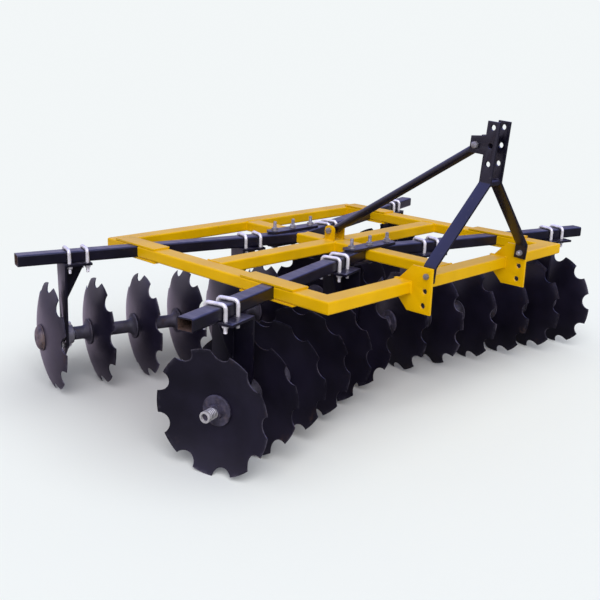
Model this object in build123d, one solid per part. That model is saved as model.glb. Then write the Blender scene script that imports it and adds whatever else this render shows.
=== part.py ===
from build123d import *
import os
from math import cos, radians, sin, sqrt, tan

# Tandem disc harrow carried on a three-point hitch: four gangs of notched discs under a flat
# welded frame. Millimetres, +X ahead to the tractor, +Y to the machine's left, +Z up.
# The floor is Z = 0, and the finished pieces are moved so that the middle of the length is X = 0.

# Working height
disc_diameter = 566.0
axle_to_frame_top = 454.0
axle_height = disc_diameter / 2
frame_top = axle_height + axle_to_frame_top

# Yellow frame of flat-laid rectangular tube
frame_length = 1660.0
frame_width = 1970.0
beam_width = 100.0
beam_height = 60.0
beam_wall = 5.0
tube_corner = 10.0
middle_beam_x = -40.0

# Gang beams: black tube that runs from an open outer end to a mitre on the centre line
gang_angle = 15.45
gang_beam_width = 80.0
gang_beam_wall = 6.0
gang_beam_fit = 0.5
front_apex_x = 182.0
rear_apex_x = -319.0
front_gang_start = 241.0
rear_gang_start = 218.0

# Plates that bridge the side beams over and under each gang beam
sleeve_length = 350.0
sleeve_thickness = 10.0

# Bolted plates over and under the mitre of each pair of gang beams
joint_plate_length = 400.0
joint_plate_width = 84.0
joint_plate_thickness = 14.0
joint_plate_point = 26.0
joint_bolt_diameter = 20.0
joint_bolt_pitch = 148.0
joint_bolt_thread = 40.0
front_joint_ahead = 38.0
rear_joint_ahead = -56.0

# Discs
disc_thickness = 5.0
dish_radius = 750.0
disc_flat_radius = 75.0
disc_edge = 1.8
disc_bevel = 14.0
disc_count = 6
disc_spacing = 250.0
lug_count = 9
notch_radius = 50.0
notch_depth = 40.0
front_overhang = 152.0
rear_overhang = 160.0
front_axle_ahead = 23.0
rear_axle_ahead = -12.0

# Shaft, spools and end fittings of a gang
shaft_side = 32.0
shaft_fit = 0.3
spool_barrel = 70.0
spool_flange = 138.0
spool_lip = 7.0
spool_flare = 34.0
end_washer = 145.0
end_washer_thickness = 12.0
end_nut_side = 62.0
end_nut_corner = 74.0
end_nut_length = 24.0
shaft_thread = 44.0
shaft_end_reach = 62.0
bell_depth = 30.0
bell_rim = 10.0
bell_crest = 80.0
bell_wall = 6.0

# Bearings
ring_diameter = 60.0
ring_reach = 6.0
running_clearance = 0.05
housing_diameter = 118.0
housing_depth = 38.0
flange_thickness = 14.0
flange_bolt_pitch = 113.0
flange_end_radius = 22.0
flange_bolt = 16.0
flange_bolt_thread = 4.0
housing_step = 8.0
housing_chamfer = 6.0
bolt_hole_clearance = 1.0

# Hangers, each an upright plate on a clamped top plate with a gusset between them. The upright
# plates stand this far from the rims beside them, outer and inner.
front_right_hangers = (52.0, 16.0)
front_left_hangers = (83.0, 93.0)
rear_hangers = (60.0, 60.0)
hanger_plate = 12.0
hanger_below_axle = 115.0
front_shoulder_width = 210.0
front_shoulder_height = 398.0
rear_shoulder_width = 104.0
rear_shoulder_height = 236.0
hanger_hole = 84.0
front_top_plate_width = 210.0
front_top_plate_length = 170.0
rear_top_plate_width = 152.0
rear_top_plate_length = 144.0
gusset_length = 112.0
gusset_height = 212.0
gusset_thickness = 10.0

# U-bolts
ubolt_rod = 18.0
ubolt_bend = 20.0
ubolt_side_gap = 2.0
ubolt_seat_gap = 0.1
front_ubolt_first = 47.0
rear_ubolt_first = 32.0
ubolt_pitch = 93.0
ubolt_thread = 26.0

# Hitch plates. How far they and their holes stand ahead is measured from the frame's front face
hitch_plate_y = 410.0
hitch_plate = 12.0
hitch_ahead = 115.0
hitch_behind = 70.0
hitch_above = 80.0
hitch_below = 142.0
hitch_top_chamfer = 70.0
hitch_bottom_chamfer = 52.0
hitch_hole = 29.0
hitch_holes = ((77.0, -31.0), (71.0, -103.0))
foot_bolt_ahead = 85.0
foot_bolt_z = 41.0
foot_bolt = 20.0
foot_bolt_thread = 8.0

# Mast: two bent flat bars in a plane that leans ahead
mast_lean = 4.2
mast_bar_width = 65.0
mast_bar = 12.0
mast_half_gap = 39.0
mast_foot_below = 29.0
mast_foot_above = 45.0
mast_knee = 403.0
mast_top = 694.0
mast_bend = 20.0
top_link_hole = 26.0
top_link_heights = (666.0, 581.0, 495.0)
ear_length = 80.0
ear_height = 78.0
ear_middle = 574.0
ear_slope = 12.0
brace_bolt_back = 49.0
brace_bolt = 24.0
brace_bolt_thread = 6.0
spacer_diameter = 38.0
spacer_above_knee = 3.0
spacer_ahead = 12.0

# Brace: a pipe from the top of the mast to a clevis on the middle of the frame
brace_pipe = 44.0
brace_wall = 4.0
brace_sleeve = 38.0
brace_past_pin = 30.0
side_play = 0.3
clevis_length = 70.0
clevis_height = 84.0
clevis_corner = 26.0
clevis_pin_height = 56.0
clevis_plate = 12.0
clevis_gap = 68.0

# Hexagon heads and nuts, as shares of the rod
hex_across = 1.5
hex_depth = 0.8

# Worked out from the sizes above
half_length = frame_length / 2
half_width = frame_width / 2
hitch_reach = half_length + hitch_ahead
hitch_rear = half_length - hitch_behind
foot_bolt_x = half_length + foot_bolt_ahead
beam_under = frame_top - beam_height
beam_middle = frame_top - beam_height / 2
flat_drop = dish_radius - sqrt(dish_radius**2 - disc_flat_radius**2)
rim_drop = dish_radius - sqrt(dish_radius**2 - (disc_diameter / 2) ** 2)
dish_depth = rim_drop - flat_drop
mast_gap = 2 * mast_half_gap
mast_leg_middle = mast_half_gap + mast_bar / 2
foot_y = hitch_plate_y - hitch_plate / 2 - mast_bar / 2
clevis_ear_y = (clevis_gap + clevis_plate) / 2
hanger_top = beam_under - hanger_plate
hanger_gaps = (0, disc_count - 2)


class Row:
    """One pair of gangs: how it is swept, which way the hollows of its discs face (1 outwards,
    -1 inwards), where it crosses the centre line, and the sizes that differ between rows."""

    def __init__(self, name, sweep, hollow, apex_x, gang_start, overhang, axle_ahead, joint_ahead,
                 hangers, top_plate, hanger_shoulder, ubolt_first, turns):
        self.name = name
        self.sweep = sweep
        self.hollow = hollow
        self.apex_x = apex_x
        self.overhang = overhang
        self.length = gang_start + (disc_count - 1) * disc_spacing + overhang
        self.axle_ahead = axle_ahead
        self.joint_x = apex_x + joint_ahead
        self.hangers = hangers
        self.plate_width, self.plate_length = top_plate
        self.shoulder_width, self.shoulder_height = hanger_shoulder
        self.ubolt_first = ubolt_first
        self.turns = turns
        self.out = Vector(sweep * sin(radians(gang_angle)), -cos(radians(gang_angle)), 0)
        self.ahead = Vector(cos(radians(gang_angle)), sweep * sin(radians(gang_angle)), 0)
        self.outer_end = Vector(apex_x, 0, 0) + self.out * self.length
        self.place = Plane(self.outer_end, x_dir=self.ahead, z_dir=self.out).location

    def rims(self):
        """Places of the discs' rims along a gang that is drawn with its hollows facing +Z."""
        return sorted(-self.hollow * (self.overhang + disc_spacing * number)
                      for number in range(disc_count))

    def crowns(self):
        """Places of the discs' crowns, in the same order."""
        return [rim - dish_depth for rim in self.rims()]

    def hanger_faces(self, side):
        """Places of the upright plates' faces, on the side where a hollow faces them."""
        gaps = hanger_gaps
        if self.hollow > 0:
            gaps = [disc_count - 2 - gap for gap in hanger_gaps]
        return [self.rims()[gap] + from_rim for gap, from_rim in zip(gaps, self.hangers[side])]

    def put_turning(self, shape, side):
        """Take a piece of the turning gang, drawn about the Z axis, to its place."""
        turned = Rot(0, 0, self.turns[side][0]) * shape
        return self.put(Pos(self.axle_ahead, axle_height, 0) * turned, side)

    def put(self, shape, side):
        """Take a piece drawn with its hollows facing +Z to its gang on one side."""
        if self.hollow < 0:
            shape = shape.mirror(Plane.XY)
        shape = shape.moved(self.place)
        return shape if side == "right" else shape.mirror(Plane.XZ)


# Each disc sits on the square shaft at one of four quarter turns. Lug places in degrees, by
# gang, outermost disc first: the gang's own turn and then each disc's count of quarter turns.
rows = (
    Row("front", sweep=1, hollow=1, apex_x=front_apex_x, gang_start=front_gang_start,
        overhang=front_overhang, axle_ahead=front_axle_ahead, joint_ahead=front_joint_ahead,
        hangers={"right": front_right_hangers, "left": front_left_hangers},
        top_plate=(front_top_plate_width, front_top_plate_length),
        hanger_shoulder=(front_shoulder_width, front_shoulder_height),
        ubolt_first=front_ubolt_first,
        turns={"right": (21.0, (0, 3, 2, 1, 0, 0)), "left": (29.0, (0, 0, 0, 0, 2, 3))}),
    Row("rear", sweep=-1, hollow=-1, apex_x=rear_apex_x, gang_start=rear_gang_start,
        overhang=rear_overhang, axle_ahead=rear_axle_ahead, joint_ahead=rear_joint_ahead,
        hangers={"right": rear_hangers, "left": rear_hangers},
        top_plate=(rear_top_plate_width, rear_top_plate_length),
        hanger_shoulder=(rear_shoulder_width, rear_shoulder_height),
        ubolt_first=rear_ubolt_first,
        turns={"right": (26.0, (0, 0, 1, 2, 3, 0)), "left": (24.0, (0, 1, 3, 0, 2, 1))}),
)
sides = ("right", "left")
y_sign = {"right": -1, "left": 1}


def block(x_range, y_range, z_range):
    """A box between two corners."""
    size = [high - low for low, high in (x_range, y_range, z_range)]
    middle = [(low + high) / 2 for low, high in (x_range, y_range, z_range)]
    return Pos(*middle) * Box(*size)


def tube(width, height, wall, start, end):
    """A rectangular tube with round corners between two points on its middle line."""
    start, end = Vector(*start), Vector(*end)
    run = end - start
    section_plane = Plane(start, x_dir=Vector(0, 0, 1).cross(run), z_dir=run)
    inner_corner = max(tube_corner - wall, wall / 2)
    section = RectangleRounded(width, height, tube_corner)
    section -= RectangleRounded(width - 2 * wall, height - 2 * wall, inner_corner)
    return extrude(section_plane * section, run.length)


def prism(outline, low, high):
    """A plan outline raised from one height to another."""
    return extrude(Pos(0, 0, low) * make_face(Polyline(*outline, close=True)), high - low)


def rod(diameter, start, end):
    """A round bar between two points."""
    start, end = Vector(*start), Vector(*end)
    run = end - start
    return extrude(Plane(start, z_dir=run) * Circle(diameter / 2), run.length)


def hexagon(diameter, start, direction):
    """A hexagon head or nut for a rod, standing on a point."""
    across = hex_across * diameter
    section = RegularPolygon(across / 2, 6, major_radius=False)
    return extrude(Plane(Vector(*start), z_dir=Vector(*direction)) * section, hex_depth * diameter)


def bolt(diameter, head_face, nut_face, thread):
    """A bolt through a stack: head on one face, nut on the other, some thread beyond."""
    head_face, nut_face = Vector(*head_face), Vector(*nut_face)
    way = (nut_face - head_face).normalized()
    head = hexagon(diameter, head_face, -way)
    nut = hexagon(diameter, nut_face, way)
    tip = nut_face + way * (hex_depth * diameter + thread)
    return rod(diameter, head_face, tip) + head + nut


def both_sides(shape):
    """The right-hand piece and its mirror image."""
    return {"right": shape, "left": shape.mirror(Plane.XZ)}


# Frame tubes
def right_half():
    """Everything on the machine's right of its centre line."""
    reach = frame_length + frame_width
    return block((-reach, reach), (-reach, 0), (0, reach))


def gang_channel(row, side):
    """The way that a gang beam takes through the frame tubes."""
    half = gang_beam_width / 2 + gang_beam_fit
    slot = block((-half, half), (beam_under, frame_top), (-row.length - gang_beam_width, 0))
    slot = slot.moved(row.place) & right_half()
    return slot if side == "right" else slot.mirror(Plane.XZ)


def end_beam(x_sign):
    """Front or rear tube, mitred at both corners."""
    middle = x_sign * (half_length - beam_width / 2)
    inner_x, outer_x = x_sign * (half_length - beam_width), x_sign * half_length
    inner_y = half_width - beam_width
    outline = ((outer_x, -half_width), (outer_x, half_width), (inner_x, inner_y), (inner_x, -inner_y))
    bar = tube(beam_width, beam_height, beam_wall,
               (middle, -half_width, beam_middle), (middle, half_width, beam_middle))
    return bar & prism(outline, beam_under, frame_top)


def side_beam(side):
    """Side tube in three lengths, with the gang beams passing between them."""
    middle = y_sign[side] * (half_width - beam_width / 2)
    inner_y, outer_y = y_sign[side] * (half_width - beam_width), y_sign[side] * half_width
    inner_x = half_length - beam_width
    outline = ((-half_length, outer_y), (half_length, outer_y), (inner_x, inner_y), (-inner_x, inner_y))
    bar = tube(beam_width, beam_height, beam_wall,
               (-half_length, middle, beam_middle), (half_length, middle, beam_middle))
    bar &= prism(outline, beam_under, frame_top)
    for row in rows:
        bar -= gang_channel(row, side)
    return bar


def middle_beam():
    """Cross tube between the side tubes."""
    reach = half_width - beam_width
    return tube(beam_width, beam_height, beam_wall,
                (middle_beam_x, -reach, beam_middle), (middle_beam_x, reach, beam_middle))


def centre_beam():
    """Tube along the centre line, in lengths between the cross tubes and the gang beams."""
    reach = half_length - beam_width
    bar = tube(beam_width, beam_height, beam_wall, (-reach, 0, beam_middle), (reach, 0, beam_middle))
    bar -= block((middle_beam_x - beam_width / 2, middle_beam_x + beam_width / 2),
                 (-beam_width, beam_width), (beam_under, frame_top))
    for row in rows:
        for side in sides:
            bar -= gang_channel(row, side)
        for hole in joint_holes(row):
            bar -= hole
    return bar


def sleeve_plates():
    """Plates over and under the side tubes where the gang beams pass."""
    plates = []
    middle_y = half_width - beam_width / 2
    for row in rows:
        crossing = row.apex_x + row.sweep * middle_y * tan(radians(gang_angle))
        x_range = (crossing - sleeve_length / 2, crossing + sleeve_length / 2)
        for side in sides:
            y_middle = y_sign[side] * middle_y
            y_range = (y_middle - beam_width / 2, y_middle + beam_width / 2)
            plates.append(block(x_range, y_range, (frame_top, frame_top + sleeve_thickness)))
            plates.append(block(x_range, y_range, (beam_under - sleeve_thickness, beam_under)))
    return plates


# Gang beams and the bolted plates at their mitre
def joint_bolt_places(row):
    """Plan places of the three bolts in a pair of plates."""
    return [(row.joint_x, joint_bolt_pitch * step) for step in (-1, 0, 1)]


def joint_holes(row):
    """Clearance holes for those bolts, through plates and beams."""
    low = beam_under - 2 * joint_plate_thickness
    high = frame_top + 2 * joint_plate_thickness
    size = joint_bolt_diameter + bolt_hole_clearance
    return [rod(size, (x, y, low), (x, y, high)) for x, y in joint_bolt_places(row)]


def gang_beam(row, side):
    """One gang beam, open at its outer end."""
    inner = Vector(row.apex_x, 0, beam_middle) - row.out * gang_beam_width
    outer = row.outer_end + Vector(0, 0, beam_middle)
    bar = tube(gang_beam_width, beam_height, gang_beam_wall, inner, outer)
    bar &= right_half()
    for hole in joint_holes(row):
        bar -= hole
    return bar if side == "right" else bar.mirror(Plane.XZ)


def joint_plates():
    """Pointed plates over and under the gang beams where they meet."""
    plates = []
    for row in rows:
        middle = row.joint_x
        half_w, half_l = joint_plate_width / 2, joint_plate_length / 2
        shoulder = half_l - joint_plate_point
        outline = ((middle - half_w, -shoulder), (middle, -half_l), (middle + half_w, -shoulder),
                   (middle + half_w, shoulder), (middle, half_l), (middle - half_w, shoulder))
        for low in (frame_top, beam_under - joint_plate_thickness):
            plate = prism(outline, low, low + joint_plate_thickness)
            for hole in joint_holes(row):
                plate -= hole
            plates.append(plate)
    return plates


def joint_bolts():
    """Three bolts through each pair of plates, nut and thread on top."""
    low = beam_under - joint_plate_thickness
    high = frame_top + joint_plate_thickness
    return [bolt(joint_bolt_diameter, (x, y, low), (x, y, high), joint_bolt_thread)
            for row in rows for x, y in joint_bolt_places(row)]


# Discs, spools and shafts, drawn along Z with the hollows facing +Z
def dish_height(radius, wall):
    """Height of a dish surface above the crown, on the crown side or a wall further in."""
    sphere = dish_radius - wall
    return dish_radius - flat_drop - sqrt(sphere**2 - radius**2)


def disc_blank():
    """A notched disc: flat centre, dished wall, bevelled edge and a square hole."""
    rim = disc_diameter / 2
    bevel_start = rim - disc_bevel
    half_way = (disc_flat_radius + bevel_start) / 2
    outside = ThreePointArc((disc_flat_radius, 0), (half_way, dish_height(half_way, 0)),
                            (bevel_start, dish_height(bevel_start, 0)))
    rim_inside = dish_height(rim, disc_thickness)
    inside = ThreePointArc((rim, rim_inside), (half_way, dish_height(half_way, disc_thickness)),
                           (disc_flat_radius, disc_thickness))
    edges = [Line((0, 0), (disc_flat_radius, 0)), outside,
             Line(outside @ 1, (rim, rim_inside - disc_edge)),
             Line((rim, rim_inside - disc_edge), (rim, rim_inside)), inside,
             Line((disc_flat_radius, disc_thickness), (0, disc_thickness)),
             Line((0, disc_thickness), (0, 0))]
    disc = revolve(Plane.XZ * make_face(edges), Axis.Z)
    cutter = Cylinder(notch_radius, 4 * dish_depth)
    notch_centre = rim - notch_depth + notch_radius
    for place in PolarLocations(notch_centre, lug_count, start_angle=180 / lug_count):
        disc -= place * cutter
    return disc - Box(shaft_side + 2 * shaft_fit, shaft_side + 2 * shaft_fit, 4 * disc_thickness)


def discs(row, side):
    """The six discs of a gang, each at its own quarter turn on the shaft."""
    blank = disc_blank()
    crowns = row.crowns()
    if row.hollow > 0:
        crowns = crowns[::-1]
    return [row.put_turning(Pos(0, 0, crown) * Rot(0, 0, 90 * quarters) * blank, side)
            for crown, quarters in zip(crowns, row.turns[side][1])]


def spool_outline(length, flares):
    """Half outline of a spool from Z = 0, with a flared flange at the ends that are named."""
    barrel, flange = spool_barrel / 2, spool_flange / 2
    edges = []
    if "low" in flares:
        edges += [Line((0, 0), (flange, 0)), Line((flange, 0), (flange, spool_lip)),
                  flare_arc((flange, spool_lip), (barrel, spool_lip + spool_flare))]
    else:
        edges += [Line((0, 0), (barrel, 0))]
    start = edges[-1] @ 1
    if "high" in flares:
        shoulder = length - spool_lip - spool_flare
        edges += [Line(start, (barrel, shoulder)),
                  flare_arc((barrel, shoulder), (flange, length - spool_lip)),
                  Line((flange, length - spool_lip), (flange, length)), Line((flange, length), (0, length))]
    else:
        edges += [Line(start, (barrel, length)), Line((barrel, length), (0, length))]
    edges.append(Line((0, length), (0, 0)))
    return edges


def flare_arc(start, end):
    """The hollow curve between a flange and the barrel."""
    middle_r = spool_barrel / 2 + (spool_flange - spool_barrel) / 2 * (1 - sqrt(0.5))
    nearer = start[1] if start[0] > end[0] else end[1]
    other = end[1] if start[0] > end[0] else start[1]
    middle_z = nearer + (other - nearer) * (1 - sqrt(0.5))
    return ThreePointArc(start, (middle_r, middle_z), end)


def spool(low, high, flares):
    """A cast spool between two places along the shaft."""
    body = revolve(Plane.XZ * make_face(spool_outline(high - low, flares)), Axis.Z)
    body = Pos(0, 0, low) * body
    hole = shaft_side / 2 + shaft_fit
    return body - block((-hole, hole), (-hole, hole), (low, high))


def ring_ends(face):
    """Both ends of the bearing ring at a hanger."""
    return face - ring_reach, face + hanger_plate + housing_depth + ring_reach


def spools(row, side):
    """Whole spools between the discs, and half spools each side of a bearing."""
    crowns = row.crowns()
    faces = row.hanger_faces(side)
    pieces = []
    for crown, following in zip(crowns, crowns[1:]):
        low, high = crown + disc_thickness, following
        held = [face for face in faces if low < face < high]
        if held:
            ring_low, ring_high = ring_ends(held[0])
            pieces.append(spool(low, ring_low, ("low",)))
            pieces.append(spool(ring_high, high, ("high",)))
        else:
            pieces.append(spool(low, high, ("low", "high")))
    return [row.put_turning(piece, side) for piece in pieces]


def shaft(row, side):
    """Square shaft with the two bearing rings on it and a round threaded end outside."""
    crowns = row.crowns()
    nut_reach = end_washer_thickness + end_nut_length
    low = crowns[0] - (bell_depth - bell_wall if row.hollow < 0 else nut_reach)
    high = crowns[-1] + disc_thickness + nut_reach
    half = shaft_side / 2
    bar = block((-half, half), (-half, half), (low, high))
    for face in row.hanger_faces(side):
        ring_low, ring_high = ring_ends(face)
        bar += rod(ring_diameter, (0, 0, ring_low), (0, 0, ring_high))
    if row.hollow > 0:
        bar += rod(shaft_thread, (0, 0, high), (0, 0, high + shaft_end_reach))
    return row.put_turning(bar, side)


def end_nut(face, way):
    """A thick washer and a square nut with trimmed corners, against the face of a disc."""
    washer = rod(end_washer, (0, 0, face), (0, 0, face + way * end_washer_thickness))
    start = face + way * end_washer_thickness
    ends = sorted((start, start + way * end_nut_length))
    half = end_nut_side / 2
    nut = block((-half, half), (-half, half), ends)
    nut &= rod(end_nut_corner, (0, 0, ends[0]), (0, 0, ends[1]))
    hole = shaft_side / 2 + shaft_fit
    low, high = sorted((face, face + way * (end_washer_thickness + end_nut_length)))
    return washer + nut - block((-hole, hole), (-hole, hole), (low, high))


def bell_cap(face, way):
    """The domed cast washer at the crown side of an outermost disc."""
    radius = end_washer / 2
    shoulder = (radius, way * bell_rim)
    crest = (bell_crest / 2, way * bell_depth)
    edges = [Line((0, 0), (radius, 0)), Line((radius, 0), shoulder),
             TangentArc(shoulder, crest, tangent=(0, way)),
             Line(crest, (0, way * bell_depth)), Line((0, way * bell_depth), (0, 0))]
    cap = Pos(0, 0, face) * revolve(Plane.XZ * make_face(edges), Axis.Z)
    hole = shaft_side / 2 + shaft_fit
    inner = sorted((face, face + way * (bell_depth - bell_wall)))
    return cap - block((-hole, hole), (-hole, hole), inner)


def end_nuts(row, side):
    """What closes the two ends of a gang."""
    crowns = row.crowns()
    hollow_end = end_nut(crowns[-1] + disc_thickness, 1)
    crown_end = bell_cap(crowns[0], -1) if row.hollow < 0 else end_nut(crowns[0], -1)
    return [row.put_turning(piece, side) for piece in (hollow_end, crown_end)]


# Hangers, bearings and U-bolts, drawn from the upright plate's face at Z = 0
def hanger(row):
    """Top plate, upright plate with a pointed foot, and the gusset between them."""
    side_half, shoulder_half = row.plate_width / 2, row.shoulder_width / 2
    outline = ((-side_half, hanger_top), (side_half, hanger_top),
               (shoulder_half, row.shoulder_height), (row.axle_ahead, axle_height - hanger_below_axle),
               (-shoulder_half, row.shoulder_height))
    upright = extrude(make_face(Polyline(*outline, close=True)), hanger_plate)
    top = block((-side_half, side_half), (hanger_top, beam_under), (0, row.plate_length))
    corners = ((hanger_top, hanger_plate), (hanger_top - gusset_height, hanger_plate),
               (hanger_top, hanger_plate + gusset_length))
    web_face = make_face(Polyline(*corners, close=True))
    web = extrude(Plane.YZ * web_face, gusset_thickness / 2, both=True)
    body = top + upright + web
    for x, z in ubolt_legs(row):
        body -= rod(ubolt_rod + bolt_hole_clearance, (x, hanger_top, z), (x, beam_under, z))
    x = row.axle_ahead
    body -= rod(hanger_hole, (x, axle_height, 0), (x, axle_height, hanger_plate))
    for y in flange_bolt_heights():
        body -= rod(flange_bolt + bolt_hole_clearance, (x, y, 0), (x, y, hanger_plate))
    return body


def flange_bolt_heights():
    """Heights of the two bolts that hold a bearing."""
    return [axle_height + step * flange_bolt_pitch / 2 for step in (-1, 1)]


def ubolt_legs(row):
    """Plan places of the U-bolts' legs in a top plate."""
    reach = gang_beam_width / 2 + ubolt_side_gap + ubolt_rod / 2
    return [(x, row.ubolt_first + step * ubolt_pitch) for step in (0, 1) for x in (-reach, reach)]


def ubolts(row):
    """Both U-bolts of a hanger, over the gang beam, with their nuts under the top plate."""
    low_leg, high_leg, *_ = ubolt_legs(row)
    return [ubolt(high_leg[0], low_leg[1] + step * ubolt_pitch) for step in (0, 1)]


def ubolt(reach, place):
    """One U-bolt with its two nuts."""
    crest = frame_top + ubolt_seat_gap + ubolt_rod / 2
    tip = hanger_top - hex_depth * ubolt_rod - ubolt_thread
    path = FilletPolyline((-reach, tip), (-reach, crest), (reach, crest), (reach, tip), radius=ubolt_bend)
    path = Pos(0, 0, place) * path
    body = sweep(Plane(path @ 0, z_dir=path % 0) * Circle(ubolt_rod / 2), path)
    for x in (-reach, reach):
        body += hexagon(ubolt_rod, (x, hanger_top, place), (0, -1, 0))
    return body


def bearing(row):
    """A flanged housing bolted to the upright plate, open for the ring that turns in it."""
    x, seat = row.axle_ahead, hanger_plate
    pitch = flange_bolt_pitch / 2
    ends = [edge for y in (-pitch, pitch) for edge in (Pos(0, y) * Circle(flange_end_radius)).edges()]
    waist = Circle(housing_diameter / 2).edges()
    flange = extrude(Pos(x, axle_height, seat) * make_hull(ends + waist), flange_thickness)
    barrel = Cylinder(housing_diameter / 2 - housing_step, housing_depth)
    barrel = chamfer(barrel.edges().sort_by(Axis.Z)[-1], housing_chamfer)
    body = flange + Pos(x, axle_height, seat + housing_depth / 2) * barrel
    ring_hole = ring_diameter + 2 * running_clearance
    body -= rod(ring_hole, (x, axle_height, seat), (x, axle_height, seat + housing_depth))
    for y in flange_bolt_heights():
        body += bolt(flange_bolt, (x, y, 0), (x, y, seat + flange_thickness), flange_bolt_thread)
    return body


# Hitch plates and mast
def hitch_plate_right():
    """Plate forked over the front tube, with two pin holes and the mast's bolt hole."""
    top, bottom = frame_top + hitch_above, frame_top - hitch_below
    outline = ((hitch_rear + hitch_top_chamfer, top), (hitch_reach, top), (hitch_reach, bottom),
               (hitch_rear + hitch_bottom_chamfer, bottom), (hitch_rear, bottom + hitch_bottom_chamfer),
               (hitch_rear, top - hitch_top_chamfer))
    face = make_face(Polyline(*outline, close=True))
    plate = extrude(Plane.XZ * face, hitch_plate)
    plate = Pos(0, -hitch_plate_y + hitch_plate / 2, 0) * plate
    y_range = (-hitch_plate_y - hitch_plate, -hitch_plate_y + hitch_plate)
    plate -= block((0, half_length), y_range, (beam_under, frame_top))
    for ahead, up in hitch_holes:
        x = half_length + ahead
        plate -= rod(hitch_hole, (x, y_range[0], frame_top + up), (x, y_range[1], frame_top + up))
    bolt_z = frame_top + foot_bolt_z
    size = foot_bolt + bolt_hole_clearance
    return plate - rod(size, (foot_bolt_x, y_range[0], bolt_z), (foot_bolt_x, y_range[1], bolt_z))


def mast_place(ahead, y, up):
    """A point in the mast's leaning plane, measured from the foot bolts."""
    lean = radians(mast_lean)
    x = foot_bolt_x + up * sin(lean) + ahead * cos(lean)
    z = frame_top + foot_bolt_z + up * cos(lean) - ahead * sin(lean)
    return x, y, z


def cross_rod(diameter, ahead, up, y_low, y_high):
    """A round bar across the mast."""
    return rod(diameter, mast_place(ahead, y_low, up), mast_place(ahead, y_high, up))


def mast_leg_right():
    """A flat bar bent in from its foot to the top, with an ear for the brace."""
    points = [(0, -foot_y, -mast_foot_below), (0, -foot_y, mast_foot_above),
              (0, -mast_leg_middle, mast_knee), (0, -mast_leg_middle, mast_top)]
    path = FilletPolyline(*[mast_place(*point) for point in points], radius=mast_bend)
    ahead = Vector(*mast_place(1, 0, 0)) - Vector(*mast_place(0, 0, 0))
    section = Plane(path @ 0, x_dir=ahead, z_dir=path % 0) * Rectangle(mast_bar_width, mast_bar)
    leg = sweep(section, path)
    back, tip = -mast_bar_width / 2, -mast_bar_width / 2 - ear_length
    low, high = ear_middle - ear_height / 2, ear_middle + ear_height / 2
    corners = [(back, low), (tip, low), (tip, high), (back, high + ear_slope)]
    ear_face = make_face(Polyline(*[mast_place(a, 0, u) for a, u in corners], close=True))
    ear = extrude(ear_face, mast_bar, dir=(0, -1, 0))
    leg += Pos(0, -mast_half_gap, 0) * ear
    for up in top_link_heights:
        leg -= cross_rod(top_link_hole, 0, up, -mast_gap, 0)
    leg -= cross_rod(brace_bolt + bolt_hole_clearance, *brace_top(), -mast_gap, 0)
    leg -= cross_rod(foot_bolt + bolt_hole_clearance, 0, 0, -half_width, -foot_y + mast_bar)
    return leg


def brace_top():
    """Place of the brace's upper bolt in the mast's plane."""
    return -mast_bar_width / 2 - brace_bolt_back, ear_middle


def mast_spacer():
    """Short bar welded between the legs at their bend."""
    return cross_rod(spacer_diameter, spacer_ahead, mast_knee + spacer_above_knee,
                     -mast_half_gap, mast_half_gap)


def foot_bolts():
    """Bolts through hitch plates and mast feet."""
    outer = hitch_plate_y + hitch_plate / 2
    inner = foot_y - mast_bar / 2
    z = frame_top + foot_bolt_z
    right = bolt(foot_bolt, (foot_bolt_x, -outer, z), (foot_bolt_x, -inner, z), foot_bolt_thread)
    return list(both_sides(right).values())


# Brace from the mast's ears to the clevis
def clevis_pin():
    """Middle of the lower brace bolt."""
    return Vector(middle_beam_x, 0, frame_top + clevis_pin_height)


def mast_pin():
    """Middle of the upper brace bolt."""
    ahead, up = brace_top()
    return Vector(*mast_place(ahead, 0, up))


def clevis():
    """Two ears with round corners, welded on the crossing of the frame tubes."""
    pin = clevis_pin()
    face = Pos(pin.X, frame_top + clevis_height / 2) * Rectangle(clevis_length, clevis_height)
    face = fillet(face.vertices().group_by(Axis.Y)[-1], clevis_corner)
    hole = rod(brace_bolt + bolt_hole_clearance, (pin.X, -half_width, pin.Z), (pin.X, half_width, pin.Z))
    ears = []
    for sign in (-1, 1):
        ear = extrude(Plane.XZ * face, clevis_plate / 2, both=True)
        ears.append(Pos(0, sign * clevis_ear_y, 0) * ear - hole)
    return ears


def brace():
    """Pipe with a cross sleeve near each end for its bolts."""
    top, foot = mast_pin(), clevis_pin()
    way = (top - foot).normalized()
    start, end = foot - way * brace_past_pin, top + way * brace_past_pin
    body = rod(brace_pipe, start, end) - rod(brace_pipe - 2 * brace_wall, start, end)
    for pin, half_gap in ((top, mast_half_gap), (foot, clevis_gap / 2)):
        reach = Vector(0, half_gap - side_play, 0)
        body += rod(brace_sleeve, pin - reach, pin + reach)
        body -= rod(brace_bolt + bolt_hole_clearance, pin - reach, pin + reach)
    return body


def brace_bolts():
    """The brace's two bolts."""
    ends = ((mast_pin(), mast_half_gap + mast_bar), (clevis_pin(), clevis_ear_y + clevis_plate / 2))
    return [bolt(brace_bolt, pin - Vector(0, outer, 0), pin + Vector(0, outer, 0), brace_bolt_thread)
            for pin, outer in ends]


def row_of(make, row):
    """One kind of piece at all four hangers of a row."""
    placed = []
    for side in sides:
        for face in row.hanger_faces(side):
            placed += [row.put(Pos(0, 0, face) * piece, side) for piece in make(row)]
    return placed


def as_list(shape):
    """The solids of a piece or of a list of pieces."""
    pieces = shape if isinstance(shape, list) else [shape]
    return [solid for piece in pieces for solid in piece.solids()]


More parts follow.
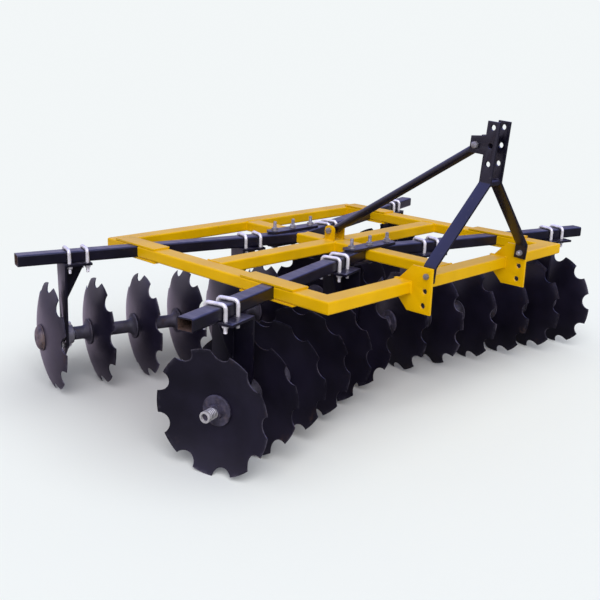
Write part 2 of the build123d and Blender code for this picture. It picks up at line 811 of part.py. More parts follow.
def assemble():
    """Every node by name, as a list of solids."""
    nodes = {
        "front_beam": end_beam(1), "rear_beam": end_beam(-1), "middle_beam": middle_beam(),
        "side_beam_right": side_beam("right"), "side_beam_left": side_beam("left"),
        "centre_beam": centre_beam(), "sleeve_plates": sleeve_plates(),
        "joint_plates": joint_plates(), "joint_bolts": joint_bolts(),
        "mast_spacer": mast_spacer(), "mast_foot_bolts": foot_bolts(),
        "brace_clevis": clevis(), "brace": brace(), "brace_bolts": brace_bolts(),
    }
    for name, right in (("hitch_plate", hitch_plate_right()), ("mast_leg", mast_leg_right())):
        for side, piece in both_sides(right).items():
            nodes[f"{name}_{side}"] = piece
    for row in rows:
        nodes[f"hangers_{row.name}"] = row_of(lambda row: [hanger(row)], row)
        nodes[f"bearings_{row.name}"] = row_of(lambda row: [bearing(row)], row)
        nodes[f"ubolts_{row.name}"] = row_of(ubolts, row)
        for side in sides:
            gang = f"{row.name}_{side}"
            nodes[f"gang_beam_{gang}"] = gang_beam(row, side)
            nodes[f"discs_{gang}"] = discs(row, side)
            nodes[f"spools_{gang}"] = spools(row, side)
            nodes[f"shaft_{gang}"] = shaft(row, side)
            nodes[f"end_nuts_{gang}"] = end_nuts(row, side)
    return {name: as_list(shape) for name, shape in nodes.items()}


nodes = assemble()
extent = Compound([solid for solids in nodes.values() for solid in solids]).bounding_box()
to_middle = Pos(-(extent.min.X + extent.max.X) / 2, 0, 0)

os.makedirs("parts", exist_ok=True)
for name, solids in nodes.items():
    placed = [to_middle * solid for solid in solids]
    shape = placed[0] if len(placed) == 1 else Compound(placed)
    export_step(shape, f"parts/{name}.step")
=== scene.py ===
"""Disc harrow: paint, discs, bolts, welds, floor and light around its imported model."""

from math import asin, atan2, cos, hypot, pi, radians, sin, sqrt, tan

import bmesh
import bpy
from bpy.props import FloatProperty, FloatVectorProperty, IntProperty, PointerProperty
from mathutils import Matrix, Vector


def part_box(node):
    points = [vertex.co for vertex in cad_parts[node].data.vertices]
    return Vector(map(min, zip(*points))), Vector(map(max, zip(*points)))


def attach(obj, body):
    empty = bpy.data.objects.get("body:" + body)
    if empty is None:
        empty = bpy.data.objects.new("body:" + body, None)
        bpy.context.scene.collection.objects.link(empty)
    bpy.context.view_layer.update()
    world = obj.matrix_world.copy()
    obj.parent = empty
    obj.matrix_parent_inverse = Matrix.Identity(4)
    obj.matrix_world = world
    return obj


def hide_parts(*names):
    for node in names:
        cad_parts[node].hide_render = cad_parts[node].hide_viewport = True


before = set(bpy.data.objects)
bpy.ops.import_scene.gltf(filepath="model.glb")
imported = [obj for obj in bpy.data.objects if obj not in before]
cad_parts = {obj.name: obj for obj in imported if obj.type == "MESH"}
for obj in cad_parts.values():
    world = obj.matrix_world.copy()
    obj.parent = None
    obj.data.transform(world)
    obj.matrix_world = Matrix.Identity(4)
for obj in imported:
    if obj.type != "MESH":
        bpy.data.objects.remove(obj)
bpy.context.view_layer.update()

bl_info = {
    "name": "Disc harrow",
    "version": (1, 0, 0),
    "blender": (4, 5, 0),
    "location": "3D View > Sidebar > Harrow",
    "description": "Dresses the disc harrow piece by piece and sets its floor, light and camera",
    "category": "Object",
}


# Sizes and colours that a user would change
def length(name, default, description):
    """A size in metres."""
    return FloatProperty(name=name, default=default, description=description, min=0.0,
                         unit="LENGTH")


def colour(name, default, description):
    """A paint or metal colour."""
    return FloatVectorProperty(name=name, default=default, description=description,
                               subtype="COLOR", size=3, min=0.0, max=1.0)


class HarrowSizes(bpy.types.PropertyGroup):
    """Sizes of the pieces that are made again here."""

    disc_diameter: length("Disc diameter", 0.566, "Across the lugs of a disc")
    disc_thickness: length("Disc thickness", 0.005, "Steel of a disc")
    disc_edge: length("Cutting edge", 0.0018, "Steel left at a lug's tip")
    disc_bevel: length("Bevel", 0.014, "Width of the sharpened strip on the crown side")
    dish_radius: length("Dish radius", 0.75, "Radius of the dished wall")
    flat_radius: length("Flat radius", 0.075, "Flat centre of a disc")
    notch_radius: length("Notch radius", 0.05, "Radius of a notch between two lugs")
    notch_depth: length("Notch depth", 0.04, "How far a notch reaches in from the rim")
    lug_count: IntProperty(name="Lugs", default=9, min=3, description="Lugs round a disc")
    disc_count: IntProperty(name="Discs", default=6, min=2, description="Discs on a gang")
    disc_spacing: length("Disc spacing", 0.25, "From one disc to the next on a gang")
    gang_angle: FloatProperty(name="Gang angle", default=radians(15.45), subtype="ANGLE",
                              description="Sweep of each gang from square across")
    spool_barrel: length("Spool barrel", 0.07, "Diameter of a spool between its flanges")
    spool_flange: length("Spool flange", 0.138, "Diameter of a spool's flange")
    end_washer: length("End washer", 0.139, "Diameter of the washer at the end of a gang")
    rod: length("U-bolt rod", 0.018, "Round bar of a U-bolt")
    weld_bead: length("Weld bead", 0.0042, "Half the width of a weld bead")
    softening: length("Softened edge", 0.0012, "Rounding along the edges of plates")


class HarrowFinishes(bpy.types.PropertyGroup):
    """Colours of the finishes and of the stage."""

    yellow: colour("Yellow paint", (0.695, 0.392, 0.001), "Frame and hitch plates")
    black: colour("Black paint", (0.0040, 0.0032, 0.0088), "Gang beams, hangers, mast and brace")
    disc: colour("Disc coating", (0.0054, 0.0042, 0.0104), "Dark coating on the discs")
    spool: colour("Spool paint", (0.032, 0.028, 0.042), "Painted castings on the shaft")
    casting: colour("Bearing casting", (0.17, 0.16, 0.19), "Housings of the bearings")
    zinc: colour("Zinc", (0.74, 0.71, 0.75), "Bolts, nuts and U-bolts")
    steel: colour("Bare steel", (0.42, 0.41, 0.44), "Shafts and their nuts")
    rust: colour("Rust", (0.085, 0.045, 0.033), "Inside of open tubes and bare edges")
    floor: colour("Floor", (0.86, 0.895, 0.91), "Plain floor")
    # Painted shadow: a darker colour painted into the floor round the machine
    under: colour("Floor under the machine", (0.50, 0.50, 0.53),
                  "The floor where the machine keeps the light off it")
    mirrored_near: colour("Mirrored floor ahead", (0.15, 0.145, 0.18),
                          "The floor as shiny faces show it")
    mirrored_far: colour("Mirrored floor behind", (0.90, 0.76, 1.0),
                         "The same behind the machine")
    background: colour("Background", (0.893, 0.926, 0.935), "What stands behind the machine")


# Maths in node trees
class Socket:
    """A value in a node tree that works in Python expressions."""

    def __init__(self, tree, socket):
        self.tree = tree
        self.socket = socket

    def math(self, operation, *others):
        """A Math node on this value and up to two more."""
        values = dict(enumerate((self,) + others))
        return self.tree.node("ShaderNodeMath", values, operation=operation)[0]

    def __add__(self, other):
        return self.math("ADD", other)

    __radd__ = __add__

    def __mul__(self, other):
        return self.math("MULTIPLY", other)

    __rmul__ = __mul__

    def __sub__(self, other):
        return self.math("SUBTRACT", other)

    def __rsub__(self, other):
        return (self * -1.0) + other

    def __truediv__(self, other):
        return self.math("DIVIDE", other)

    def __rtruediv__(self, other):
        return self.math("POWER", -1.0) * other

    def __pow__(self, other):
        return self.math("POWER", other)

    def __gt__(self, other):
        return self.math("GREATER_THAN", other)

    def __lt__(self, other):
        return self.math("LESS_THAN", other)

    def __mod__(self, other):
        return self.math("FLOORED_MODULO", other)


class Made:
    """A finished node, whose outputs are taken by name or number."""

    def __init__(self, tree, node):
        self.tree = tree
        self.node = node

    def __getitem__(self, key):
        return Socket(self.tree, self.node.outputs[key])


class Tree:
    """A node tree and the one way in which nodes are added to it."""

    def __init__(self, data):
        self.data = data

    def node(self, kind, values=None, **settings):
        """Add a node: its settings first, then the values or links of its sockets."""
        node = self.data.nodes.new(kind)
        for key, value in settings.items():
            setattr(node, key, value)
        for key, value in (values or {}).items():
            socket = node.inputs[key]
            if isinstance(value, Socket):
                self.data.links.new(value.socket, socket)
            elif socket.type == "RGBA" and len(value) == 3:
                socket.default_value = (*value, 1.0)
            else:
                socket.default_value = value
        return Made(self, node)

    def mix(self, share, low, high):
        """A colour between two colours."""
        return self.node("ShaderNodeMix", {"Factor": share, 6: low, 7: high}, data_type="RGBA")[2]

    def ramp(self, value, low, high):
        """0 below one value, 1 above another, smooth between them."""
        values = {"Value": value, "From Min": low, "From Max": high}
        return self.node("ShaderNodeMapRange", values, interpolation_type="SMOOTHSTEP")["Result"]

    def noise(self, where, scale, detail=3.0):
        """Cloudy noise from 0 to 1."""
        values = {"Vector": where, "Scale": scale, "Detail": detail}
        return self.node("ShaderNodeTexNoise", values)["Fac"]

    def vector(self, operation, *values):
        """A Vector Math node."""
        made = self.node("ShaderNodeVectorMath", dict(enumerate(values)), operation=operation)
        return made["Value" if operation in ("LENGTH", "DOT_PRODUCT") else "Vector"]

    def parts(self, value):
        """The three numbers of a vector."""
        made = self.node("ShaderNodeSeparateXYZ", {0: value})
        return made["X"], made["Y"], made["Z"]

    def join(self, x, y, z):
        """A vector from three numbers."""
        return self.node("ShaderNodeCombineXYZ", {"X": x, "Y": y, "Z": z})["Vector"]

    def blend(self, share, first, second):
        """One shader where the share is 0, and another where it is 1."""
        return self.node("ShaderNodeMixShader", {"Fac": share, 1: first, 2: second})["Shader"]

    def store(self, geometry, name, value, domain="POINT"):
        """Geometry that carries a number by name."""
        values = {"Geometry": geometry, "Name": name, "Value": value}
        return self.node("GeometryNodeStoreNamedAttribute", values,
                         data_type="FLOAT", domain=domain)["Geometry"]

    def put_at(self, geometry, place):
        """Geometry with each of its points at a worked-out place."""
        values = {"Geometry": geometry, "Position": place}
        return self.node("GeometryNodeSetPosition", values)["Geometry"]


def own_name(name):
    """The name of a finish made here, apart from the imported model's own materials."""
    return f"harrow_{name}"


class Finish(Tree):
    """A material in the making."""

    def __init__(self, name):
        self.material = bpy.data.materials.new(own_name(name))
        self.material.use_nodes = True
        super().__init__(self.material.node_tree)
        self.data.nodes.clear()
        self.place = self.node("ShaderNodeTexCoord")["Object"]

    def attribute(self, name):
        """A number that the mesh carries."""
        return self.node("ShaderNodeAttribute", attribute_name=name)["Fac"]

    def grain(self, scale, detail=3.0):
        """Noise that stays with the piece."""
        return self.noise(self.place, scale, detail)

    def patches(self, source, edges):
        """Where noise, or a number that the mesh carries, rises from one value to another."""
        value = self.attribute(source) if isinstance(source, str) else self.grain(*source)
        return self.ramp(value, *edges)

    def facing_up(self, low):
        """1 on what faces up, falling to 0 on slopes."""
        return self.ramp(self.parts(self.node("ShaderNodeNewGeometry")["Normal"])[2], low, 0.95)

    def tones(self, share, base, dark, light):
        """A colour between a darker and a lighter tone of one colour."""
        return self.mix(share, tuple(Vector(base) * dark), tuple(Vector(base) * light))

    def close(self, base, roughness, height, depth, metallic=0.0, **plain):
        """Join everything to the surface. Height is in parts of depth, which is in metres."""
        bump = self.node("ShaderNodeBump", {"Strength": 1.0, "Distance": depth, "Height": height})
        values = {"Base Color": base, "Roughness": roughness, "Metallic": metallic,
                  "Normal": bump["Normal"]}
        values.update({key.replace("_", " "): value for key, value in plain.items()})
        surface = self.node("ShaderNodeBsdfPrincipled", values)
        self.node("ShaderNodeOutputMaterial", {"Surface": surface["BSDF"]})
        return self.material


# Finishes with a recipe of their own
def yellow_paint(finishes):
    """Sprayed enamel with orange peel, a little dust and a painted pale sheen on top, and dull
    patches.
    """
    made = Finish("yellow_paint")
    cloud = made.grain(5.0, 4.0)
    shade = made.tones(made.ramp(cloud, 0.3, 0.7), finishes.yellow, 0.92, 1.04)
    thick = made.ramp(cloud + made.grain(60.0, 2.0) * 0.5, 0.62, 1.0)
    # Dust and painted sheen: what faces up is mixed towards a pale cream, partly dust and partly a
    # painted reflection of the sky
    dust_and_sheen = made.facing_up(0.6) * (0.04 + 0.28 * thick)
    shade = made.mix(dust_and_sheen, shade, (0.70, 0.50, 0.16))
    chips = made.patches((38.0, 6.0), (0.73, 0.76))
    shade = made.mix(chips * 0.5, shade, (0.20, 0.10, 0.03))
    peel = made.grain(420.0, 1.0) + cloud * 0.5
    return made.close(shade, 0.30 + cloud * 0.16 + dust_and_sheen * 0.3, peel, 0.00012,
                      Specular_IOR_Level=0.3, Specular_Tint=(1.0, 0.62, 0.08, 1.0))


def black_enamel(made, finishes, light, scuff_scale, scuff_edge, scuff_share, bare):
    """Black enamel over rolled steel, scuffed, with streaks of dust and a painted bluish sheen on
    what faces up.
    """
    cloud = made.grain(7.0, 4.0)
    shade = made.tones(made.ramp(cloud, 0.3, 0.75), finishes.black, 0.8, light)
    scuffs = made.patches((scuff_scale, 6.0), (scuff_edge, 0.74))
    shade = made.mix(scuffs * scuff_share, shade, bare)
    streaks = made.noise(made.vector("MULTIPLY", made.place, (4.0, 22.0, 4.0)), 1.6, 5.0)
    # Dust and painted sheen: streaks of pale bluish grey on what faces up, partly dust and partly
    # a painted reflection of the sky
    dust_and_sheen = made.facing_up(0.7) * made.ramp(streaks, 0.35, 0.75)
    return made.mix(dust_and_sheen, shade, (0.060, 0.055, 0.076)), cloud, scuffs


def black_paint(finishes):
    """Black enamel with orange peel."""
    made = Finish("black_paint")
    shade, cloud, scuffs = black_enamel(made, finishes, 1.5, 55.0, 0.66, 0.35, (0.07, 0.06, 0.06))
    peel = made.grain(380.0, 1.0) + made.grain(40.0) * 0.6
    return made.close(shade, 0.24 + cloud * 0.14 + scuffs * 0.2, peel, 0.00012,
                      Specular_IOR_Level=0.5)


def gang_paint(finishes, row, side):
    """Black enamel outside the tube of a gang beam and rust inside it."""
    made = Finish(f"gang_paint_{row.name}_{side}")
    turn = row.place(side).inverted()
    across = made.vector("DOT_PRODUCT", made.place, tuple(turn[0])[:3]) + turn[0][3]
    up = made.parts(made.place)[2] - (frame_top - beam_height / 2)
    wall = gang_beam_wall * 0.98
    inside = ((across.math("ABSOLUTE") < gang_beam_width / 2 - wall)
              * (up.math("ABSOLUTE") < beam_height / 2 - wall))
    paint, cloud, _ = black_enamel(made, finishes, 1.6, 48.0, 0.67, 0.4, (0.08, 0.065, 0.06))
    grain = made.grain(110.0, 6.0)
    brown = made.tones(made.ramp(grain, 0.35, 0.7), finishes.rust, 0.5, 1.0)
    peel = made.grain(380.0, 1.0) * 0.2 + grain * inside
    return made.close(made.mix(inside, paint, brown), 0.24 + cloud * 0.14 + inside * 0.5, peel,
                      0.0006, Specular_IOR_Level=0.5)


def disc_steel(finishes):
    """Dark coated disc steel: mill blotches, a lighter sharpened strip, rust at some lug tips."""
    made = Finish("disc_steel")
    reach = made.attribute("reach")
    shift = made.vector("ADD", made.place, made.join(made.attribute("shade") * 9.0, 0.0, 0.0))
    cloud, fine = made.noise(shift, 4.5, 5.0), made.noise(shift, 70.0, 5.0)
    shade = made.tones(made.ramp(cloud, 0.35, 0.7), finishes.disc, 0.8, 1.7)
    strip = made.ramp(reach, 0.945, 0.955) * made.ramp(fine, 0.4, 0.7)
    shade = made.mix(strip * 0.25, shade, (0.055, 0.050, 0.072))
    spots = made.ramp(made.noise(shift, 11.0, 5.0), 0.60, 0.72) * made.ramp(reach, 0.80, 0.98)
    spots = spots * made.ramp(fine, 0.35, 0.6)
    shade = made.mix(spots * 0.7, shade, (0.050, 0.026, 0.020))
    cut = made.ramp(made.attribute("cut"), 0.97, 1.0)
    bared = cut * made.ramp(cloud + fine * 0.4, 0.60, 0.92)
    shade = made.mix(bared, shade, (0.085, 0.075, 0.105))
    height = cloud * 0.6 + fine * 0.35 + spots * 0.4
    return made.close(shade, 0.27 + cloud * 0.18 + spots * 0.3, height, 0.0005,
                      metallic=cut * 0.2, Specular_IOR_Level=0.37)


recipes = {made.__name__: made for made in (yellow_paint, black_paint, disc_steel)}

# Finishes by one recipe. Colours are plain, or a colour of the panel and a factor. Tones lie
# between clouds, and a stain, or on pale steel the shade painted into its grooves, has its colour,
# share, noise and the values where it begins and ends. Noise is scale and detail. Rough starts at
# its first number, and the next three are what clouds, sand and the stain or shade add. Skin is
# the height of clouds and sand, and metal goes by the stain or shade.
coats = {
    # Enamel worn thin on the edges of plates
    "yellow_edge": {"tones": (("yellow", 1.02),), "sand": (300.0, 3.0), "skin": (0.0, 1.0),
                    "stain": ((0.30, 0.16, 0.05), 0.55, (90.0, 5.0), (0.52, 0.60)),
                    "rough": (0.34, 0.0, 0.0, 0.2), "depth": 0.0001, "Specular_IOR_Level": 0.25},
    "black_edge": {"tones": (("black", 3.0),), "sand": (300.0, 3.0), "skin": (0.0, 1.0),
                   "stain": ((0.16, 0.14, 0.16), 1.0, (70.0, 5.0), (0.42, 0.58)),
                   "rough": (0.36, 0.0, 0.0, 0.15), "depth": 0.0001, "metal": (0.0, 0.5)},
    # Painted rough casting
    "cast_spool": {"tones": (("spool", 0.7), ("spool", 2.0)), "cloud": (12.0, 3.0),
                   "sand": (170.0, 4.0), "stain": (("rust", 0.6), 0.6, (22.0, 5.0), (0.60, 0.70)),
                   "rough": (0.52, 0.0, 0.2), "skin": (0.4, 1.0), "depth": 0.0009,
                   "Specular_IOR_Level": 0.4},
    # Dark grey forged washer and nut with brown bloom
    "end_casting": {"tones": ((0.062, 0.055, 0.088), (0.030, 0.026, 0.040)),
                    "cloud": (26.0, 5.0), "edges": (0.38, 0.66), "sand": (150.0, 4.0),
                    "stain": ((0.075, 0.050, 0.058), 0.4, (40.0, 6.0), (0.53, 0.66)),
                    "rough": (0.45, 0.0, 0.25), "skin": (0.5, 1.0), "depth": 0.0006,
                    "metal": (0.35, -0.3)},
    # The same with its paint rubbed off by soil, brown and grey
    "worn_casting": {"tones": ((0.115, 0.090, 0.098), (0.040, 0.030, 0.034)),
                     "cloud": (30.0, 5.0), "edges": (0.38, 0.66), "sand": (130.0, 5.0),
                     "stain": ((0.105, 0.060, 0.045), 0.6, (55.0, 6.0), (0.45, 0.62)),
                     "rough": (0.42, 0.0, 0.3), "skin": (0.5, 1.0), "depth": 0.0009,
                     "metal": (0.35, -0.3)},
    # Grey painted housing with a sandy skin
    "bearing_casting": {"tones": (("casting", 0.75), ("casting", 1.15)), "cloud": (18.0, 4.0),
                        "sand": (190.0, 4.0), "rough": (0.42, 0.0, 0.2), "skin": (0.0, 1.0),
                        "depth": 0.0007, "metal": (0.25, 0.0)},
    # Bright zinc with a cloudy bloom
    "zinc_plated": {"tones": (("zinc", 0.80), ("zinc", 1.08)), "cloud": (30.0, 5.0),
                    "edges": (0.3, 0.7), "sand": (260.0, 2.0), "rough": (0.34, 0.24),
                    "skin": (0.0, 1.0), "depth": 0.00015, "metal": (0.35, 0.0)},
    # Zinc gone grey, with brown in its corners
    "dull_zinc": {"tones": (("zinc", 0.27), ("zinc", 0.495)), "cloud": (45.0, 5.0),
                  "stain": (("rust", 1.1), 0.55, (90.0, 5.0), (0.52, 0.68)),
                  "rough": (0.38, 0.25), "depth": 0.0002, "metal": (0.55, -0.4)},
    # Turned steel with light oxide
    "bare_steel": {"tones": (("steel", 0.55), ("steel", 1.0)), "cloud": (35.0, 5.0),
                   "stain": (("rust", 1.2), 0.6, (60.0, 6.0), (0.58, 0.68)),
                   "rough": (0.34, 0.2, 0.0, 0.3), "depth": 0.0003, "metal": (0.8, -0.6)},
    # Machined steel that shows pale, with shade painted dark into the grooves of its thread
    "pale_steel": {"tones": (("zinc", 0.44), ("zinc", 0.60)), "cloud": (60.0, 4.0),
                   # Painted shade: the grooves of the thread are painted almost black
                   "edges": (0.3, 0.7), "stain": (("zinc", 0.07), 1.0, "groove", (0.25, 0.7)),
                   "rough": (0.42, 0.2), "depth": 0.0002, "metal": (0.25, 0.0)},
}


def coat(name, tones, depth, rough, cloud=None, edges=(0.35, 0.7), sand=None, stain=None,
         skin=(1.0,), metal=(0.0, 0.0), **plain):
    """A finish by the one recipe."""
    made = Finish(name)
    finishes = bpy.context.scene.harrow_finishes

    def colour(given):
        if isinstance(given[0], str):
            return tuple(Vector(getattr(finishes, given[0])) * given[1])
        return given

    def total(start, weights, layers):
        for layer, weight in zip(layers, weights):
            if weight:
                start = start + layer * weight
        return start

    clouds = made.grain(*cloud) if cloud else None
    grains = made.grain(*sand) if sand else None
    stain_and_shade_mask = None
    shade = colour(tones[0])
    if cloud:
        shade = made.mix(made.ramp(clouds, *edges), shade, colour(tones[1]))
    if stain:
        stain_and_shade_mask = made.patches(*stain[2:])
        shade = made.mix(stain_and_shade_mask * stain[1], shade, colour(stain[0]))
    layers = (clouds, grains, stain_and_shade_mask)
    return made.close(shade, total(rough[0], rough[1:], layers), total(0.0, skin, layers), depth,
                      total(metal[0], metal[1:], (stain_and_shade_mask,)), **plain)


def finish(name):
    """A finish by name, made when it is first asked for."""
    made = bpy.data.materials.get(own_name(name))
    if made:
        return made
    if name in coats:
        return coat(name, **coats[name])
    return recipes[name](bpy.context.scene.harrow_finishes)


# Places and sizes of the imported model
sides = ("right", "left")
beam_height = 0.06
beam_width = 0.1
gang_beam_width = 0.08
gang_beam_wall = 0.006
hanger_plate = 0.012
front_beam_low, front_beam_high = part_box("front_beam")
frame_top = front_beam_high.z
frame_under = front_beam_low.z
half_length = 0.83
half_width = front_beam_high.y
to_middle = front_beam_high.x - half_length


class Row:
    """One pair of gangs: its sweep, 1 where its hollows face outwards and -1 inwards, where its
    pieces are, and how its discs are turned."""

    def __init__(self, name, sweep, hollow, apex_x, gang_start, overhang, axle_ahead, hangers,
                 plate_width, ubolt_first, turns):
        sizes = bpy.context.scene.harrow_sizes
        self.name = name
        self.hollow = hollow
        self.axle_ahead = axle_ahead
        self.plate_width = plate_width
        self.ubolt_first = ubolt_first
        self.turns = turns
        angle = sizes.gang_angle
        self.out = Vector((sweep * sin(angle), -cos(angle), 0.0))
        self.ahead = Vector((cos(angle), sweep * sin(angle), 0.0))
        run = gang_start + (sizes.disc_count - 1) * sizes.disc_spacing + overhang
        self.end = Vector((apex_x + to_middle, 0.0, 0.0)) + self.out * run
        self.rims = sorted(-hollow * (overhang + sizes.disc_spacing * number)
                           for number in range(sizes.disc_count))
        self.crowns = [rim - dish_depth(sizes) for rim in self.rims]
        gaps = sorted((0, sizes.disc_count - 2), reverse=hollow > 0)
        self.faces = {side: [self.rims[gap] + away for gap, away in zip(gaps, hangers[side])]
                      for side in sides}

    def place(self, side):
        """From a drawing with its hollows facing +Z to the gang on one side."""
        across = Matrix(((self.ahead.x, 0.0, self.out.x, self.end.x),
                         (self.ahead.y, 0.0, self.out.y, self.end.y),
                         (0.0, 1.0, 0.0, 0.0), (0.0, 0.0, 0.0, 1.0)))
        if self.hollow < 0:
            across = across @ Matrix.Scale(-1, 4, (0, 0, 1))
        return across if side == "right" else Matrix.Scale(-1, 4, (0, 1, 0)) @ across

    def axle(self, side):
        """The same for what turns on the shaft."""
        height = bpy.context.scene.harrow_sizes.disc_diameter / 2
        turn = Matrix.Rotation(radians(self.turns[side][0]), 4, "Z")
        return self.place(side) @ Matrix.Translation((self.axle_ahead, height, 0.0)) @ turn


def rows():
    """Front and rear pair of gangs. Turns are the gang's own in degrees, and then the quarter
    turns of its discs from the outer end."""
    return (
        Row("front", sweep=1, hollow=1, apex_x=0.182, gang_start=0.241, overhang=0.152,
            axle_ahead=0.023, hangers={"right": (0.052, 0.016), "left": (0.083, 0.093)},
            plate_width=0.210, ubolt_first=0.047,
            turns={"right": (21.0, (0, 3, 2, 1, 0, 0)), "left": (29.0, (0, 0, 0, 0, 2, 3))}),
        Row("rear", sweep=-1, hollow=-1, apex_x=-0.319, gang_start=0.218, overhang=0.160,
            axle_ahead=-0.012, hangers={"right": (0.060, 0.060), "left": (0.060, 0.060)},
            plate_width=0.152, ubolt_first=0.032,
            turns={"right": (26.0, (0, 0, 1, 2, 3, 0)), "left": (24.0, (0, 1, 3, 0, 2, 1))}),
    )


def gangs():
    """The four gangs, each as its row and its side."""
    return [(row, side) for row in rows() for side in sides]


def dish_depth(sizes):
    """From the crown of a disc to its rim."""
    outer = sqrt(sizes.dish_radius**2 - (sizes.disc_diameter / 2) ** 2)
    return sqrt(sizes.dish_radius**2 - sizes.flat_radius**2) - outer


# Geometry trees
def placed(name, data):
    """A new object in the scene."""
    made = bpy.data.objects.new(name, data)
    bpy.context.scene.collection.objects.link(made)
    return made


def geometry_tree(name, floats=(), others=()):
    """A geometry tree with named inputs, and its Group Input node."""
    data = bpy.data.node_groups.new(name, "GeometryNodeTree")
    data.interface.new_socket("Geometry", in_out="INPUT", socket_type="NodeSocketGeometry")
    for label in floats:
        data.interface.new_socket(label, in_out="INPUT", socket_type="NodeSocketFloat")
    for label, kind in others:
        data.interface.new_socket(label, in_out="INPUT", socket_type=kind)
    data.interface.new_socket("Geometry", in_out="OUTPUT", socket_type="NodeSocketGeometry")
    tree = Tree(data)
    return tree, tree.node("NodeGroupInput")


def close_tree(tree, geometry, material):
    """End a geometry tree in plain mesh with its finish."""
    real = tree.node("GeometryNodeRealizeInstances", {"Geometry": geometry})["Geometry"]
    done = tree.node("GeometryNodeSetMaterial",
                     {"Geometry": real, "Material": material})["Geometry"]
    tree.node("NodeGroupOutput", {"Geometry": done})
    return tree.data


def run_tree(data, mesh, **inputs):
    """The plain mesh that a tree makes from a mesh, with its inputs set by name."""
    carrier = placed(data.name, mesh)
    modifier = carrier.modifiers.new(data.name, "NODES")
    modifier.node_group = data
    for item in data.interface.items_tree:
        if item.item_type == "SOCKET" and item.in_out == "INPUT":
            key = item.name.lower().replace(" ", "_")
            if key in inputs:
                modifier[item.identifier] = inputs[key]
    graph = bpy.context.evaluated_depsgraph_get()
    made = bpy.data.meshes.new_from_object(carrier.evaluated_get(graph), depsgraph=graph,
                                           preserve_all_data_layers=True)
    carrier.modifiers.remove(modifier)
    bpy.data.objects.remove(carrier)
    made.materials.clear()
    made.materials.append(inputs["finish"])
    return made


def set_out_tree():
    """A part on every point, turned about its own axis and then aimed, each with a shade."""
    kinds = (("Part", "NodeSocketObject"), ("Seed", "NodeSocketInt"),
             ("Finish", "NodeSocketMaterial"))
    tree, given = geometry_tree("Parts on points", (), kinds)
    turn, aim = (tree.node("GeometryNodeInputNamedAttribute", {"Name": name}, data_type=kind)[0]
                 for name, kind in (("turn", "FLOAT"), ("aim", "FLOAT_VECTOR")))
    spin = tree.node("FunctionNodeEulerToRotation", {0: tree.join(0.0, 0.0, turn)})[0]
    facing = tree.node("FunctionNodeAlignRotationToVector", {"Rotation": spin, "Vector": aim},
                       axis="Z")[0]
    part = tree.node("GeometryNodeObjectInfo", {"Object": given["Part"]})["Geometry"]
    points = tree.node("GeometryNodeMeshToPoints", {"Mesh": given["Geometry"]})[0]
    copies = tree.node("GeometryNodeInstanceOnPoints",
                       {"Points": points, "Instance": part, "Rotation": facing})["Instances"]
    chance = tree.node("FunctionNodeRandomValue", {"Seed": given["Seed"]}, data_type="FLOAT")[1]
    shaded = tree.store(copies, "shade", chance, "INSTANCE")
    return close_tree(tree, shaded, given["Finish"])


def disc_tree():
    """A notched dished disc: a grid whose columns follow the lugs and rows cross the steel."""
    sizes = ("Rim", "Hub", "Flat", "Dish", "Lugs", "Notch radius", "Notch centre", "Lug start",
             "Notch turn", "Thickness", "Edge", "Bevel", "Columns", "Rows")
    tree, given = geometry_tree("Notched disc", sizes, (("Finish", "NodeSocketMaterial"),))
    columns, rings = given["Columns"], given["Rows"]

    def either(first, value, other):
        return value * first + other * (1.0 - first)

    grid = tree.node("GeometryNodeMeshGrid", {"Size X": 1.0, "Size Y": 1.0,
                     "Vertices X": columns + 1.0, "Vertices Y": rings * 2.0 + 1.0})["Mesh"]
    along, cross, _ = tree.parts(tree.node("GeometryNodeInputPosition")[0])
    step = ((along + 0.5) * columns).math("ROUND") % columns
    per_lug = columns / given["Lugs"]
    sector = (step / per_lug).math("FLOOR")
    share = (step - sector * per_lug) / per_lug
    line = ((cross + 0.5) * rings * 2.0).math("ROUND") % (rings * 2.0)
    hollow_side = line > rings - 0.5
    outward = either(hollow_side, rings * 2.0 - 1.0 - line, line)
    outward = 1.0 - (1.0 - outward / (rings - 1.0)) ** 1.7

    in_notch = share < 0.5
    swing = (share * 4.0 - 1.0) * given["Notch turn"]
    notch_x = given["Notch centre"] - given["Notch radius"] * swing.math("COSINE")
    notch_y = given["Notch radius"] * swing.math("SINE")
    lug_angle = 2 * pi / given["Lugs"]
    lug_turn = given["Lug start"] + (share * 2.0 - 1.0) * (lug_angle - given["Lug start"] * 2.0)
    edge_x = either(in_notch, notch_x, given["Rim"] * lug_turn.math("COSINE"))
    edge_y = either(in_notch, notch_y, given["Rim"] * lug_turn.math("SINE"))
    outline = (edge_x * edge_x + edge_y * edge_y).math("SQRT")
    turn = edge_y.math("ARCTAN2", edge_x) + (sector + 0.5) * lug_angle

    radius = given["Hub"] + (outline - given["Hub"]) * outward
    drop = (given["Dish"] ** 2.0 - given["Flat"] ** 2.0).math("SQRT")

    def dished(at, wall):
        rise = drop - ((given["Dish"] - wall) ** 2.0 - at ** 2.0).math("SQRT")
        return rise * (at > given["Flat"]) + wall * (at < given["Flat"] + 1e-6)

    hollow_z = dished(radius, given["Thickness"])
    start = given["Rim"] - given["Bevel"]
    ground = ((radius - start) / given["Bevel"]).math("MAXIMUM", 0.0)
    rim_z = dished(given["Rim"], given["Thickness"]) - given["Edge"]
    crown_z = dished(radius.math("MINIMUM", start), 0.0 * start)
    crown_z = crown_z + (rim_z - crown_z) * ground
    height = crown_z + (hollow_z - crown_z) * hollow_side
    place = tree.join(radius * turn.math("COSINE"), radius * turn.math("SINE"), height)
    mesh = tree.store(tree.store(grid, "reach", radius / given["Rim"]), "cut", outward)
    mesh = tree.node("GeometryNodeMergeByDistance",
                     {"Geometry": tree.put_at(mesh, place), "Distance": 0.00001})["Geometry"]
    return close_tree(tree, mesh, given["Finish"])


